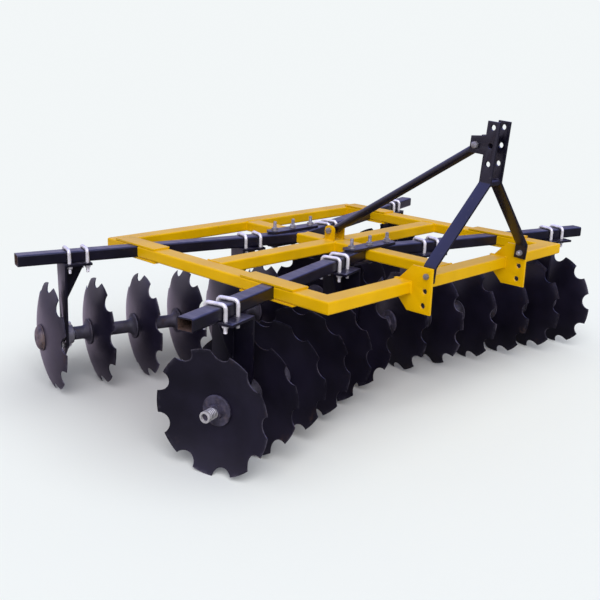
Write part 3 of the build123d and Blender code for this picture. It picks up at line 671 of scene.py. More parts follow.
def thread_tree():
    """A threaded stub from Z = 0 up: a cylinder whose wall follows a screw line."""
    sizes = ("Diameter", "Pitch", "Length", "Depth", "Chamfer")
    tree, given = geometry_tree("Screw thread", sizes, (("Finish", "NodeSocketMaterial"),))
    turns = (given["Length"] / given["Pitch"] * 4.0).math("ROUND")
    stub = tree.node("GeometryNodeMeshCylinder",
                     {"Vertices": 16, "Side Segments": turns, "Radius": given["Diameter"] / 2.0,
                      "Depth": given["Length"]}, fill_type="NGON")["Mesh"]
    x, y, z = tree.parts(tree.node("GeometryNodeInputPosition")[0])
    phase = (z / given["Pitch"] + y.math("ARCTAN2", x) / (2 * pi)).math("FRACT")
    groove = (phase - 0.5).math("ABSOLUTE") * 2.0 * given["Depth"]
    tip = (z - given["Length"] / 2.0 + given["Chamfer"]).math("MAXIMUM", 0.0)
    share = 1.0 - groove.math("MAXIMUM", tip) / (given["Diameter"] / 2.0)
    place = tree.join(x * share, y * share, z + given["Length"] / 2.0)
    mesh = tree.put_at(tree.store(stub, "groove", groove / given["Depth"]), place)
    return close_tree(tree, mesh, given["Finish"])


def bead_tree():
    """A weld bead along every line of a mesh, with ripples and a little unevenness."""
    kinds = (("Seed", "NodeSocketInt"), ("Finish", "NodeSocketMaterial"))
    tree, given = geometry_tree("Weld bead", ("Width", "Ripple"), kinds)
    line = tree.node("GeometryNodeMeshToCurve", {"Mesh": given["Geometry"]})["Curve"]
    line = tree.node("GeometryNodeResampleCurve", {"Curve": line, "Length": given["Ripple"]},
                     mode="LENGTH")["Curve"]
    count = tree.node("GeometryNodeInputIndex")[0]
    chance = tree.node("FunctionNodeRandomValue", {2: 0.82, 3: 1.08, "Seed": given["Seed"]},
                       data_type="FLOAT")[1]
    swell = chance + (count % 2.0) * 0.16
    line = tree.node("GeometryNodeSetCurveRadius", {"Curve": line, "Radius": swell})["Curve"]
    ring = tree.node("GeometryNodeCurvePrimitiveCircle",
                     {"Resolution": 7, "Radius": given["Width"]}, mode="RADIUS")["Curve"]
    bead = tree.node("GeometryNodeCurveToMesh", {"Curve": line, "Profile Curve": ring,
                                                 "Scale": swell, "Fill Caps": True})["Mesh"]
    return close_tree(tree, bead, given["Finish"])


tree_makers = {"Parts on points": set_out_tree, "Notched disc": disc_tree,
               "Screw thread": thread_tree, "Weld bead": bead_tree}


def tree_of(name):
    """A geometry tree by name, made when it is first asked for."""
    return bpy.data.node_groups.get(name) or tree_makers[name]()


def points(places, aims=None, turns=None):
    """A mesh of bare points that carry an aim and a turn."""
    mesh = bpy.data.meshes.new("points")
    mesh.from_pydata([tuple(place) for place in places], [], [])
    for name, kind in (("aim", "FLOAT_VECTOR"), ("turn", "FLOAT")):
        mesh.attributes.new(name, kind, "POINT")
    for number in range(len(places)):
        mesh.attributes["aim"].data[number].vector = aims[number] if aims else (0.0, 0.0, 1.0)
        mesh.attributes["turn"].data[number].value = turns[number] if turns else 0.0
    return mesh


def set_out(part, material, places, aims=None, turns=None, seed=1):
    """A copy of a mesh on every place."""
    carrier = placed("part", part)
    made = run_tree(tree_of("Parts on points"), points(places, aims, turns), part=carrier,
                    seed=seed, finish=finish(material))
    bpy.data.objects.remove(carrier)
    return made


def thread(diameter, length_of, pitch, material="zinc_plated"):
    """A threaded stub that stands on Z = 0."""
    return run_tree(tree_of("Screw thread"), points([(0, 0, 0)]), diameter=diameter,
                    pitch=pitch, length=length_of, depth=pitch * 0.5, chamfer=pitch * 0.8,
                    finish=finish(material))


def beads(lines, width, material, seed):
    """Weld beads along lines, each a list of points."""
    mesh = bpy.data.meshes.new("lines")
    corners, edges = [], []
    for line in lines:
        first = len(corners)
        corners += [tuple(point) for point in line]
        edges += [(first + number, first + number + 1) for number in range(len(line) - 1)]
    mesh.from_pydata(corners, edges, [])
    return run_tree(tree_of("Weld bead"), mesh, width=width, ripple=width * 0.7, seed=seed,
                    finish=finish(material))


# Mesh shapes
def loft(rings, around=False):
    """Faces between rings of equally many points. The ends are closed, or joined to each other."""
    shape = bmesh.new()
    made = [[shape.verts.new(point) for point in ring] for ring in rings]
    pairs = list(zip(made, made[1:])) + ([(made[-1], made[0])] if around else [])
    for low, high in pairs:
        for number in range(len(low)):
            following = (number + 1) % len(low)
            shape.faces.new((low[number], low[following], high[following], high[number]))
    if not around:
        shape.faces.new(made[0][::-1])
        shape.faces.new(made[-1])
    bmesh.ops.recalc_face_normals(shape, faces=shape.faces)
    mesh = bpy.data.meshes.new("loft")
    shape.to_mesh(mesh)
    shape.free()
    return mesh


def circle(radius, height, steps):
    """A ring of points about Z."""
    return [(radius * cos(2 * pi * k / steps), radius * sin(2 * pi * k / steps), height)
            for k in range(steps)]


def arc(radius, first, last, steps, rise=0.0):
    """Points in a plane along an arc, its ends included."""
    angles = [first + (last - first) * number / steps for number in range(steps + 1)]
    return [(radius * cos(angle), rise + radius * sin(angle)) for angle in angles]


def turned(profile, steps=48, around=False):
    """A turned piece from pairs of radius and height."""
    return loft([circle(radius, height, steps) for radius, height in profile], around)


def rounded(profile, reach, steps=3):
    """A profile whose inner corners are rounded by short arcs."""
    result = [profile[0]]
    for before, corner, after in zip(profile, profile[1:], profile[2:]):
        back, here, ahead = Vector(before), Vector(corner), Vector(after)
        size = min(reach, (back - here).length * 0.45, (ahead - here).length * 0.45)
        start = here + (back - here).normalized() * size
        end = here + (ahead - here).normalized() * size
        for number in range(steps + 1):
            share = number / steps
            point = start * (1 - share) ** 2 + here * 2 * share * (1 - share) + end * share**2
            result.append(tuple(point))
    return result + [profile[-1]]


def turned_ring(inner, outer, low, high, corner, steps=40):
    """A turned ring with rounded outer corners."""
    profile = [(inner, low), (outer, low), (outer, high), (inner, high)]
    return turned(rounded(profile, corner), steps, around=True)


def quarter(steps):
    """Angles from 0 to a right angle."""
    return [pi / 2 * number / steps for number in range(steps + 1)]


def hexagon(across, height):
    """A hexagon with its upper corners trimmed, standing on Z = 0."""
    flat = across / 2
    crown = flat * 0.95
    steps = 24
    low, high = [], []
    for number in range(steps):
        angle = 2 * pi * number / steps
        lean = (angle + pi / 6) % (pi / 3) - pi / 6
        radius = flat / cos(lean)
        place = (radius * cos(angle), radius * sin(angle))
        low.append((*place, 0.0))
        high.append((*place, height - (radius - crown) * tan(radians(30))))
    return loft([low, high, circle(crown, height, steps)])


def washer(rod, thickness, over):
    """A flat washer under a nut, whose radius is a share of the rod."""
    return turned_ring(rod * 0.5, rod * over, low=0.0, high=thickness, corner=0.0006, steps=32)


def moved(mesh, matrix):
    """The same mesh at another place, right side out."""
    mesh.transform(matrix)
    if matrix.determinant() < 0:
        mesh.flip_normals()
    return mesh


def shifted(mesh, height):
    """The same mesh, moved up."""
    return moved(mesh, Matrix.Translation((0.0, 0.0, height)))


def upended(mesh):
    """The same mesh, turned over to stand under Z = 0."""
    return moved(mesh, Matrix.Rotation(pi, 4, "X"))


# Heads and nuts, as shares of the rod
nut_across = 1.5
nut_share = 0.8
head_share = 0.65


def bolt(rod, grip, past_nut, pitch, across=nut_across):
    """A bolt from its head's face at Z = 0 through a stack to its nut, washer and thread."""
    head = upended(hexagon(rod * across, rod * head_share))
    thin = rod * 0.14
    nut = shifted(hexagon(rod * across, rod * nut_share - thin), grip + thin)
    disc = shifted(washer(rod, thin, across * 0.62), grip)
    hidden = rod * nut_share / 2
    stem = turned([(rod / 2, 0.0), (rod / 2, grip + hidden)], 16)
    end = shifted(thread(rod, hidden + past_nut, pitch), grip + hidden)
    return merged([head, nut, disc, stem, end])


def merged(meshes):
    """Several meshes as one, each keeping its finish."""
    shape = bmesh.new()
    materials = []
    for mesh in meshes:
        first = len(shape.faces)
        shape.from_mesh(mesh)
        shape.faces.ensure_lookup_table()
        own = list(mesh.materials) or [None]
        numbers = []
        for material in own:
            if material not in materials:
                materials.append(material)
            numbers.append(materials.index(material))
        for face in shape.faces[first:]:
            face.material_index = numbers[min(face.material_index, len(numbers) - 1)]
    result = bpy.data.meshes.new("merged")
    shape.to_mesh(result)
    shape.free()
    for material in materials:
        result.materials.append(material)
    return result


def coated(mesh, material):
    """The mesh with one finish all over."""
    mesh.materials.clear()
    mesh.materials.append(finish(material))
    return mesh


def piece(name, mesh, body, nodes=(), sharp=35.0):
    """A finished mesh as a piece that rides on a body and may stand for CAD nodes."""
    mesh.name = name
    mesh.shade_smooth()
    mesh.set_sharp_from_angle(angle=radians(sharp))
    made = placed(name, mesh)
    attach(made, body)
    if nodes:
        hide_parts(*nodes)


def worked(mesh, work=None):
    """The same mesh after work on its shape, with its faces outwards."""
    shape = bmesh.new()
    shape.from_mesh(mesh)
    if work:
        work(shape)
    bmesh.ops.recalc_face_normals(shape, faces=shape.faces)
    shape.to_mesh(mesh)
    shape.free()
    return mesh


def soften(node, paint, width):
    """A CAD node made again with rounded edges, on which its paint is thin."""
    def round_edges(shape):
        bmesh.ops.remove_doubles(shape, verts=shape.verts, dist=0.00002)
        bmesh.ops.dissolve_limit(shape, angle_limit=radians(0.5), verts=shape.verts,
                                 edges=shape.edges)
        for face in shape.faces:
            face.material_index = 0
        corners = [edge for edge in shape.edges if len(edge.link_faces) == 2
                   and edge.calc_face_angle(0.0) > radians(28)]
        bmesh.ops.bevel(shape, geom=corners, offset=width, offset_type="OFFSET", segments=2,
                        profile=0.6, affect="EDGES", clamp_overlap=True, material=1)

    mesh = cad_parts[node].data.copy()
    if "custom_normal" in mesh.attributes:
        mesh.attributes.remove(mesh.attributes["custom_normal"])
    worked(mesh, round_edges)
    mesh.materials.clear()
    for kind in ("paint", "edge"):
        mesh.materials.append(finish(f"{paint}_{kind}"))
    piece(f"{node}_painted", mesh, "frame", (node,))


def dress(node, material):
    """A CAD node that stays, in its finish."""
    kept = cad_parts[node]
    if not kept.data.materials:
        kept.data.materials.append(material)
    for holder in kept.material_slots:
        holder.link = "OBJECT"
        holder.material = material


# Pieces
class HARROW_OT_tubes(bpy.types.Operator):
    """Tubes of the frame and of the gangs, the brace and the bar of the mast"""

    bl_idname = "harrow.tubes"
    bl_label = "Tubes"

    def execute(self, context):
        for node in ("front_beam", "rear_beam", "middle_beam", "centre_beam",
                     "side_beam_right", "side_beam_left"):
            dress(node, finish("yellow_paint"))
        for node in ("mast_spacer", "brace"):
            dress(node, finish("black_paint"))
        for row, side in gangs():
            material = gang_paint(context.scene.harrow_finishes, row, side)
            dress(f"gang_beam_{row.name}_{side}", material)
        return {"FINISHED"}


class HARROW_OT_plates(bpy.types.Operator):
    """Hitch, sleeve and mitre plates, clevis, legs of the mast and hangers"""

    bl_idname = "harrow.plates"
    bl_label = "Plates"

    def execute(self, context):
        width = context.scene.harrow_sizes.softening
        for node in ("sleeve_plates", "hitch_plate_right", "hitch_plate_left", "brace_clevis"):
            soften(node, "yellow", width)
        for node in ("joint_plates", "mast_leg_right", "mast_leg_left", "hangers_front",
                     "hangers_rear"):
            soften(node, "black", width)
        return {"FINISHED"}


# What hangs from the gang beams: bearings, each a flange with a barrel, and pairs of U-bolts
housing_bore = 0.03005
housing_depth = 0.038
flange_waist = 0.059
flange_end = 0.022
flange_thickness = 0.014
flange_bolt = 0.016
bolt_pitch = 0.113
clamp_pitch = 0.093


def hang(name, part, material, row, places, nodes=()):
    """A piece of copies at all four hangers of a row, at places from an upright plate's face."""
    made = []
    for side in sides:
        spots = [(x, y, face + z) for face in row.faces[side] for x, y, z in places]
        made.append(moved(set_out(part, material, spots), row.place(side)))
    piece(f"{name}_{row.name}", merged(made), "frame", nodes)


class HARROW_OT_bearings(bpy.types.Operator):
    """Flanged bearing housings and their bolts"""

    bl_idname = "harrow.bearings"
    bl_label = "Bearings"

    def housing(self):
        """One housing, seated at Z = 0: a waisted flange and a turned barrel."""
        centre, steps = bolt_pitch / 2, 14
        spread = asin((flange_waist - flange_end) / centre)
        half = (arc(flange_end, spread, pi - spread, steps, centre)
                + arc(flange_waist, pi - spread, pi + spread, steps)[1:-1])
        outline = half + [(-x, -y) for x, y in half]
        rings = []
        for inset, height in ((0.0, 0.0), (0.0, 0.012), (0.0006, 0.0134),
                              (0.002, flange_thickness)):
            shares = [1 - inset / hypot(x, y) for x, y in outline]
            rings.append([(x * share, y * share, height)
                          for (x, y), share in zip(outline, shares)])
        barrel = rounded([(housing_bore, 0.010), (0.053, 0.010), (0.051, 0.032),
                          (0.046, housing_depth), (housing_bore, housing_depth)], 0.003)
        return merged([loft(rings), turned(barrel, 56, around=True)])

    def execute(self, context):
        height = context.scene.harrow_sizes.disc_diameter / 2
        housing = self.housing()
        fixing = bolt(rod=flange_bolt, grip=hanger_plate + flange_thickness, past_nut=0.004,
                      pitch=0.002)
        for row in rows():
            hang("bearing_housings", housing, "bearing_casting", row,
                 [(row.axle_ahead, height, hanger_plate)], (f"bearings_{row.name}",))
            hang("bearing_bolts", fixing, "zinc_plated", row,
                 [(row.axle_ahead, height + way * bolt_pitch / 2, 0.0) for way in (-1, 1)])
        return {"FINISHED"}


class HARROW_OT_clamps(bpy.types.Operator):
    """U-bolts with their nuts and washers"""

    bl_idname = "harrow.clamps"
    bl_label = "U-bolts"

    def clamp(self, rod):
        """One U-bolt in its own plane: X across the beam, Y up."""
        beside_beam, above_beam = 0.002, 0.0001
        reach = gang_beam_width / 2 + beside_beam + rod / 2
        crest = frame_top + above_beam + rod / 2
        seat = frame_under - hanger_plate
        nut_height, washer_height = rod * nut_share, 0.003
        above_seat, past_nut = 0.004, 0.026
        start = seat + above_seat
        bend, steps = 0.02, 8
        path = [(-reach, start, pi / 2), (-reach, crest - bend, pi / 2)]
        for sign, turn in ((-1, 0.0), (1, pi / 2)):
            for angle in quarter(steps):
                angle += turn
                path.append((sign * (reach - bend) - bend * cos(angle),
                             crest - bend + bend * sin(angle), pi / 2 - angle))
        path.append((reach, start, -pi / 2))
        rings = []
        for x, y, heading in path:
            across = Vector((-sin(heading), cos(heading), 0.0))
            rings.append([Vector((x, y, 0.0)) + across * side + Vector((0.0, 0.0, up))
                          for side, up, _ in circle(rod / 2, 0.0, 14)])
        made = [loft(rings)]
        down = Matrix.Rotation(pi / 2, 4, "X")
        for x in (-reach, reach):
            for part, y in ((thread(rod, above_seat + nut_height + past_nut, pitch=0.0025), start),
                            (washer(rod, washer_height, over=0.95), seat),
                            (hexagon(rod * nut_across, nut_height - washer_height),
                             seat - washer_height)):
                made.append(moved(part, Matrix.Translation((x, y, 0.0)) @ down))
        return merged(made)

    def execute(self, context):
        source = self.clamp(context.scene.harrow_sizes.rod)
        for row in rows():
            hang("u_bolts", source, "zinc_plated", row,
                 [(0.0, 0.0, row.ubolt_first), (0.0, 0.0, row.ubolt_first + clamp_pitch)],
                 (f"ubolts_{row.name}",))
        return {"FINISHED"}


class HARROW_OT_bolts(bpy.types.Operator):
    """Bolts of the mitre plates, the mast's feet and the brace"""

    bl_idname = "harrow.bolts"
    bl_label = "Bolts"

    def execute(self, context):
        mitre_plate, mitre_pitch = 0.014, 0.148
        low, high = frame_under - mitre_plate, frame_top + mitre_plate
        fixing = bolt(rod=0.02, grip=high - low, past_nut=0.036, pitch=0.0035, across=1.7)
        places = [(apex + to_middle, mitre_pitch * step, low)
                  for apex in (0.220, -0.375) for step in (-1, 0, 1)]
        mesh = set_out(fixing, "dull_zinc", places, turns=[0.3, 1.1, 0.7, 0.2, 0.9, 1.4])
        piece("mitre_bolts", mesh, "frame", ("joint_bolts",))

        foot_low, foot_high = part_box("mast_foot_bolts")
        x, z = (foot_low.x + foot_high.x) / 2, (foot_low.z + foot_high.z) / 2
        outer_face = 0.416
        fixing = bolt(rod=0.02, grip=0.024, past_nut=0.008, pitch=0.0025, across=1.25)
        mesh = set_out(fixing, "dull_zinc", [(x, -outer_face, z), (x, outer_face, z)],
                       aims=[(0, 1, 0), (0, -1, 0)], turns=[0.4, 0.1])
        piece("mast_foot_fixings", mesh, "frame", ("mast_foot_bolts",))

        # The brace's upper bolt, from the foot bolts up along the mast, which leans ahead
        lean, back, up = radians(4.2), -0.0815, 0.574
        top = Vector((x + up * sin(lean) + back * cos(lean), 0.0,
                      z + up * cos(lean) - back * sin(lean)))
        clevis_low, clevis_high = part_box("brace_clevis")
        foot = Vector(((clevis_low.x + clevis_high.x) / 2, 0.0, clevis_low.z + 0.056))
        made = []
        for place, outer_face in ((top, 0.051), (foot, 0.046)):
            fixing = bolt(rod=0.024, grip=2 * outer_face, past_nut=0.006, pitch=0.003,
                          across=1.25)
            made.append(set_out(fixing, "dull_zinc", [place - Vector((0, outer_face, 0))],
                                aims=[(0, 1, 0)], turns=[0.2]))
        piece("brace_fixings", merged(made), "frame", ("brace_bolts",))
        return {"FINISHED"}


def gang_piece(name, mesh, row, side, node, sharp=35.0):
    """A piece drawn about Z that turns with a gang, in place of the gang's CAD node."""
    gang = f"{row.name}_{side}"
    piece(f"{name}_{gang}", moved(mesh, row.axle(side)), f"gang_{gang}",
          (f"{node}_{gang}",), sharp)


class HARROW_OT_discs(bpy.types.Operator):
    """Notched discs of the four gangs"""

    bl_idname = "harrow.discs"
    bl_label = "Discs"

    def blank(self, sizes):
        """One disc about Z with its crown at Z = 0 and its hollow facing +Z."""
        rim = sizes.disc_diameter / 2
        centre = rim - sizes.notch_depth + sizes.notch_radius
        share = (centre**2 + rim**2 - sizes.notch_radius**2) / (2 * centre * rim)
        start = atan2(sqrt(1 - share**2), share)
        swing = atan2(rim * sin(start), centre - rim * cos(start))
        return run_tree(tree_of("Notched disc"), points([(0, 0, 0)]), rim=rim, hub=0.0235,
                        flat=sizes.flat_radius, dish=sizes.dish_radius,
                        lugs=float(sizes.lug_count), notch_radius=sizes.notch_radius,
                        notch_centre=centre, lug_start=start, notch_turn=swing,
                        thickness=sizes.disc_thickness, edge=sizes.disc_edge,
                        bevel=sizes.disc_bevel, columns=float(sizes.lug_count * 20), rows=10.0,
                        finish=finish("disc_steel"))

    def execute(self, context):
        sizes = context.scene.harrow_sizes
        blank = self.blank(sizes)
        for (row, side), seed in zip(gangs(), (5, 4, 8, 7)):
            crowns = row.crowns[::-1] if row.hollow > 0 else row.crowns
            places = [(0.0, 0.0, crown) for crown in crowns]
            turns = [pi / 2 * quarters for quarters in row.turns[side][1]]
            mesh = worked(set_out(blank, "disc_steel", places, turns=turns, seed=seed))
            gang_piece("notched_discs", mesh, row, side, "discs", sharp=25.0)
        return {"FINISHED"}


ring_reach = 0.006
shaft_half = 0.016
spool_bore = 0.0231


def ring_ends(face):
    """The two ends of the bearing ring at a hanger's face."""
    return face - ring_reach, face + hanger_plate + housing_depth + ring_reach


class HARROW_OT_spools(bpy.types.Operator):
    """Cast spools between the discs"""

    bl_idname = "harrow.spools"
    bl_label = "Spools"

    def spool(self, sizes, run, flares):
        """A spool from Z = 0 with a flared flange at the named ends."""
        barrel, flange = sizes.spool_barrel / 2, sizes.spool_flange / 2
        lip, flare, soft = 0.007, 0.034, 0.0015
        plain = [(spool_bore, 0.0), (barrel - 0.002, 0.0), (barrel, 0.002), (barrel, 0.012)]

        def end_of(flared):
            if not flared:
                return plain
            profile = [(spool_bore, 0.0), (flange - soft, 0.0), (flange, soft),
                       (flange, lip - 0.001)]
            for turn in quarter(7):
                profile.append((barrel + (flange - barrel) * (1 - sin(turn)),
                                lip + flare * (1 - cos(turn))))
            return profile

        low = end_of("low" in flares)
        high = [(radius, run - height) for radius, height in end_of("high" in flares)]
        return coated(turned(low + high[::-1], 40, around=True), "cast_spool")

    def execute(self, context):
        sizes = context.scene.harrow_sizes
        between = self.spool(sizes, sizes.disc_spacing - sizes.disc_thickness, ("low", "high"))
        for row, side in gangs():
            halves, whole = [], []
            for crown, high in zip(row.crowns, row.crowns[1:]):
                low = crown + sizes.disc_thickness
                held = [face for face in row.faces[side] if low < face < high]
                if not held:
                    whole.append((0.0, 0.0, low))
                for face in held:
                    start, end = ring_ends(face)
                    halves.append(shifted(self.spool(sizes, start - low, ("low",)), low))
                    halves.append(shifted(self.spool(sizes, high - end, ("high",)), end))
            mesh = merged([set_out(between, "cast_spool", whole)] + halves)
            gang_piece("cast_spools", mesh, row, side, "spools")
        return {"FINISHED"}


class HARROW_OT_axles(bpy.types.Operator):
    """Square shafts, their bearing rings and what closes their ends"""

    bl_idname = "harrow.axles"
    bl_label = "Shafts and end nuts"

    def square(self, half, low, high, trim):
        """A square bar with trimmed edges."""
        soft = 0.0015
        rings = []
        for inset, height in ((soft, low), (0.0, low + soft), (0.0, high - soft), (soft, high)):
            side, corner = half - inset, half - trim
            ring = []
            for x_sign, y_sign in ((1, 1), (-1, 1), (-1, -1), (1, -1)):
                pair = [(x_sign * side, y_sign * corner, height),
                        (x_sign * corner, y_sign * side, height)]
                ring += pair if x_sign == y_sign else pair[::-1]
            rings.append(ring)
        return loft(rings)

    def tip(self):
        """The coarse threaded end of a shaft with its hollow collar, in whose hollow a dark disc
        is painted shade.
        """
        screw = thread(diameter=0.052, length_of=0.050, pitch=0.0105, material="pale_steel")
        collar = coated(turned_ring(inner=0.0165, outer=0.0256, low=0.047, high=0.0605,
                                    corner=0.0015), "pale_steel")
        # Painted shade: a dark disc at the bottom of the collar's hollow stands for its shadow
        painted_bore_shade = coated(turned([(0.0170, 0.0490), (0.0170, 0.0505)], 24), "end_casting")
        return merged([screw, collar, painted_bore_shade])

    def closing(self, sizes):
        """A thick washer on Z = 0 with a square nut on it."""
        thickness = 0.012
        disc = turned_ring(shaft_half, sizes.end_washer / 2, low=0.0, high=thickness,
                           corner=0.0025, steps=56)
        nut = self.square(half=0.031, low=thickness, high=0.036, trim=0.0105)
        return coated(merged([disc, nut]), "end_casting")

    def bell(self, sizes):
        """The domed washer on the crown side of an outermost disc, standing on Z = 0, with a dark
        disc in its hole as painted shade.
        """
        radius, rim, depth, crest = sizes.end_washer / 2, 0.008, 0.030, 0.018
        hole, wall = 0.012, 0.006
        profile = [(spool_bore, 0.0), (radius - 0.001, 0.0), (radius, 0.001),
                   (radius, rim - 0.001), (radius - 0.004, rim)]
        foot = radius - 0.006
        for turn in quarter(12):
            profile.append((crest + (foot - crest) * cos(turn), rim + (depth - rim) * sin(turn)))
        profile += [(hole, depth), (hole, depth - wall), (spool_bore, depth - wall)]
        dome = coated(turned(profile, 56, around=True), "worn_casting")
        # Painted shade: a dark disc in the hole at the top of the dome stands for the shadow
        # inside it
        painted_hole_shade = turned([(0.0125, depth - 0.004), (0.0125, depth - 0.0012)], 24)
        return merged([dome, coated(painted_hole_shade, "end_casting")])

    def execute(self, context):
        sizes = context.scene.harrow_sizes
        nut_reach, bell_reach, ring_radius = 0.036, 0.024, 0.03
        for row, side in gangs():
            first, last = row.crowns[0], row.crowns[-1] + sizes.disc_thickness
            low = first - (bell_reach if row.hollow < 0 else nut_reach)
            high = last + nut_reach
            bar = [coated(self.square(shaft_half, low, high, trim=0.002), "bare_steel")]
            for face in row.faces[side]:
                seat = turned_ring(shaft_half, ring_radius, *ring_ends(face), corner=0.0015)
                bar.append(coated(seat, "bare_steel"))
            if row.hollow > 0:
                bar.append(shifted(self.tip(), high))
            gang_piece("square_shaft", merged(bar), row, side, "shaft")
            outer = shifted(self.closing(sizes), last)
            inner = self.bell(sizes) if row.hollow < 0 else self.closing(sizes)
            ends = merged([outer, shifted(upended(inner), first)])
            gang_piece("end_fittings", ends, row, side, "end_nuts")
        return {"FINISHED"}


class HARROW_OT_welds(bpy.types.Operator):
    """Weld beads of the frame and the hangers"""

    bl_idname = "harrow.welds"
    bl_label = "Welds"

    def collar(self, x_pair, y_pair, corner=0.006):
        """The line of a bead up one side of a tube's end, across its top and down the other."""
        ends = [Vector((x, y, 0.0)) for x, y in zip(x_pair, y_pair)]
        inward = (ends[1] - ends[0]).normalized() * corner
        low, below, top = (Vector((0.0, 0.0, z))
                           for z in (frame_under + corner, frame_top - corner, frame_top))
        return [ends[0] + low, ends[0] + below, ends[0] + inward + top,
                ends[1] - inward + top, ends[1] + below, ends[1] + low]

    def frame_lines(self):
        """Where the frame is welded, measured from the middle of the frame."""
        inner_x, inner_y = half_length - beam_width, half_width - beam_width
        half = beam_width / 2
        middle = -0.040
        lines = []
        for sign in (-1, 1):
            lines.append(self.collar((middle - half, middle + half), (sign * inner_y,) * 2))
            for x in (sign * inner_x, middle + sign * half):
                lines.append(self.collar((x, x), (-half, half)))
        for name in ("hitch_plate_right", "hitch_plate_left"):
            low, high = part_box(name)
            for y in (low.y, high.y):
                lines.append([(inner_x, y, frame_top), (half_length, y, frame_top),
                              (half_length, y, frame_under)])
        low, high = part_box("brace_clevis")
        for y in (low.y, low.y + 0.012, high.y - 0.012, high.y):
            lines.append([(low.x - to_middle, y, frame_top), (high.x - to_middle, y, frame_top)])
        return lines

    def execute(self, context):
        sizes = context.scene.harrow_sizes
        lines = [[(x + to_middle, y, z) for x, y, z in line] for line in self.frame_lines()]
        mesh = beads(lines, sizes.weld_bead, "yellow_paint", 11)
        piece("frame_welds", mesh, "frame")

        gusset_half, gusset_height, gusset_length = 0.005, 0.205, 0.106
        top = frame_under - hanger_plate
        made = []
        for row, side in gangs():
            half_plate = row.plate_width / 2
            paths = []
            for face in row.faces[side]:
                back = face + hanger_plate
                paths.append([(-half_plate, top, back), (half_plate, top, back)])
                for x in (-gusset_half, gusset_half):
                    paths.append([(x, top - gusset_height, back), (x, top, back),
                                  (x, top, back + gusset_length)])
            mesh = beads(paths, sizes.weld_bead * 0.8, "black_paint", 23)
            made.append(moved(mesh, row.place(side)))
        piece("hanger_welds", merged(made), "frame")
        return {"FINISHED"}


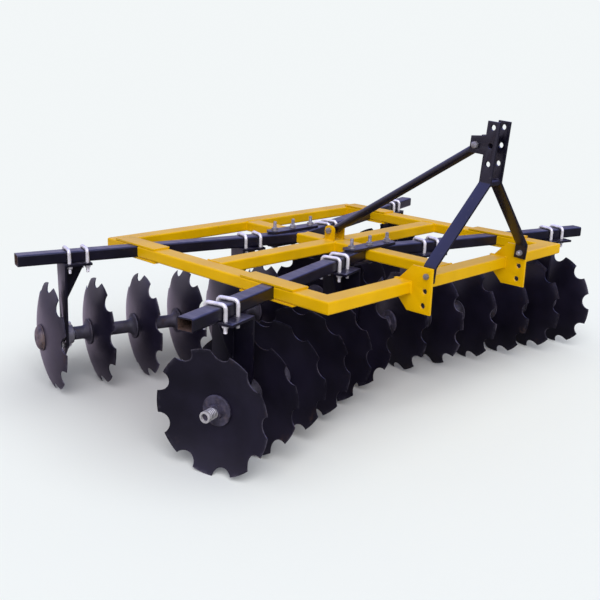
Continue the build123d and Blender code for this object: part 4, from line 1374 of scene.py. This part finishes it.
class HARROW_OT_stage(bpy.types.Operator):
    """Floor, light, background and camera"""

    bl_idname = "harrow.stage"
    bl_label = "Stage"

    def floor(self, finishes):
        """A pale floor with a shadow painted into its colour round the machine, that runs into the
        background and shows dark in shiny faces.
        """
        made = Finish("floor")
        x, y, _ = made.parts(made.place)
        path = made.node("ShaderNodeLightPath")
        # Painted shadow: inside this box round the machine, fading out beyond it, the floor's own
        # colour is the darker colour under the machine
        painted_shadow_x, painted_shadow_half_length, painted_shadow_half_width, fade = -0.25, 0.30, 1.00, 1.1
        beside = [(distance.math("ABSOLUTE") - half).math("MAXIMUM", 0.0) for distance, half in
                  ((x - painted_shadow_x, painted_shadow_half_length), (y, painted_shadow_half_width))]
        clear = made.ramp(made.vector("LENGTH", made.join(*beside, 0.0)), 0.0, fade)
        shade = made.mix(clear, tuple(finishes.under), tuple(finishes.floor))
        plain = made.node("ShaderNodeBsdfDiffuse", {"Color": shade})["BSDF"]
        glow = made.node("ShaderNodeEmission", {"Color": tuple(finishes.background)})["Emission"]
        behind = made.ramp(x * -1.0, 0.0, 1.8) - made.ramp(x * -1.0, 2.7, 3.4) * 0.8
        shown = made.mix(behind, tuple(finishes.mirrored_near), tuple(finishes.mirrored_far))
        mirrored = made.node("ShaderNodeBsdfDiffuse", {"Color": shown})["BSDF"]
        far = made.ramp(made.vector("LENGTH", made.place), 2.2, 4.0)
        seen = made.blend(far * path["Is Camera Ray"], plain, glow)
        surface = made.blend(path["Is Glossy Ray"], seen, mirrored)
        made.node("ShaderNodeOutputMaterial", {"Surface": surface})
        mesh = bpy.data.meshes.new("floor")
        reach = 60.0
        corners = [(-reach, -reach, 0), (reach, -reach, 0), (reach, reach, 0), (-reach, reach, 0)]
        mesh.from_pydata(corners, [], [(0, 1, 2, 3)])
        mesh.materials.append(made.material)
        placed("floor", mesh)

    def world(self, finishes):
        """Even light, a pale background, and a cooler sky in reflections."""
        world = bpy.data.worlds.new("studio")
        world.use_nodes = True
        bpy.context.scene.world = world
        tree = Tree(world.node_tree)
        tree.data.nodes.clear()

        def backdrop(colour, strength=1.0):
            return tree.node("ShaderNodeBackground",
                             {"Color": colour, "Strength": strength})["Background"]

        aside, forward, up = tree.parts(tree.node("ShaderNodeTexCoord")["Generated"])
        low = tree.mix(tree.ramp(aside * -0.8 + forward * -0.6, -0.4, 0.9), (0.14, 0.125, 0.18),
                       (0.95, 0.87, 1.08))
        sky = tree.mix(tree.ramp(up, 0.10, 0.65), low, (0.74, 0.82, 2.05))
        path = tree.node("ShaderNodeLightPath")
        shiny = path["Is Glossy Ray"].math("MAXIMUM", path["Is Transmission Ray"])
        lit = tree.blend(shiny, backdrop((0.94, 0.96, 1.0), 0.46), backdrop(sky))
        surface = tree.blend(path["Is Camera Ray"], lit, backdrop(tuple(finishes.background)))
        tree.node("ShaderNodeOutputWorld", {"Surface": surface})

    def sun(self):
        """Wide, soft light from one side, even over the whole floor."""
        place = Vector((2.9, -2.7, 3.7))
        data = bpy.data.lights.new("sun", "SUN")
        data.energy = 2.8
        data.angle = radians(52)
        data.color = (1.0, 0.985, 0.965)
        lamp = placed("sun", data)
        lamp.location = place
        lamp.rotation_euler = (-place).to_track_quat("-Z", "Y").to_euler()

    def camera(self):
        """The camera at the place and turn from which the machine was seen."""
        azimuth, rise, roll = radians(44.206), radians(15.850), radians(1.951)
        back = Vector((sin(azimuth) * cos(rise), -cos(azimuth) * cos(rise), sin(rise)))
        right = (-back).cross(Vector((0.0, 0.0, 1.0))).normalized()
        up = right.cross(-back)
        x_axis = right * cos(roll) + up * sin(roll)
        y_axis = up * cos(roll) - right * sin(roll)
        data = bpy.data.cameras.new("camera")
        data.lens = 51.98
        data.sensor_width = 36.0
        camera = placed("camera", data)
        turn = Matrix((x_axis, y_axis, back)).transposed().to_4x4()
        camera.matrix_world = Matrix.Translation((3.1925 + to_middle, -3.5865, 1.7419)) @ turn
        bpy.context.scene.camera = camera

    def execute(self, context):
        finishes = context.scene.harrow_finishes
        context.scene.view_settings.view_transform = "Standard"
        self.camera()
        self.floor(finishes)
        self.world(finishes)
        self.sun()
        return {"FINISHED"}


operators = (HARROW_OT_tubes, HARROW_OT_plates, HARROW_OT_bearings, HARROW_OT_clamps,
             HARROW_OT_bolts, HARROW_OT_discs, HARROW_OT_spools, HARROW_OT_axles,
             HARROW_OT_welds, HARROW_OT_stage)


class HARROW_PT_panel(bpy.types.Panel):
    """Buttons for every group of pieces and for the stage"""

    bl_idname = "HARROW_PT_panel"
    bl_label = "Disc harrow"
    bl_space_type = "VIEW_3D"
    bl_region_type = "UI"
    bl_category = "Harrow"

    def draw(self, context):
        layout = self.layout
        for group in (context.scene.harrow_sizes, context.scene.harrow_finishes):
            box = layout.box()
            for name in group.__annotations__:
                box.prop(group, name)
        for operator in operators:
            layout.operator(operator.bl_idname)


classes = (HarrowSizes, HarrowFinishes) + operators + (HARROW_PT_panel,)


def register():
    """Add the classes and the sizes and finishes to the scene."""
    for item in classes:
        bpy.utils.register_class(item)
    bpy.types.Scene.harrow_sizes = PointerProperty(type=HarrowSizes)
    bpy.types.Scene.harrow_finishes = PointerProperty(type=HarrowFinishes)


def unregister():
    """Take them away again."""
    del bpy.types.Scene.harrow_finishes
    del bpy.types.Scene.harrow_sizes
    for item in reversed(classes):
        bpy.utils.unregister_class(item)


def main():
    register()
    for operator in operators:
        group, name = operator.bl_idname.split(".")
        getattr(getattr(bpy.ops, group), name)()


if __name__ == "__main__":
    main()
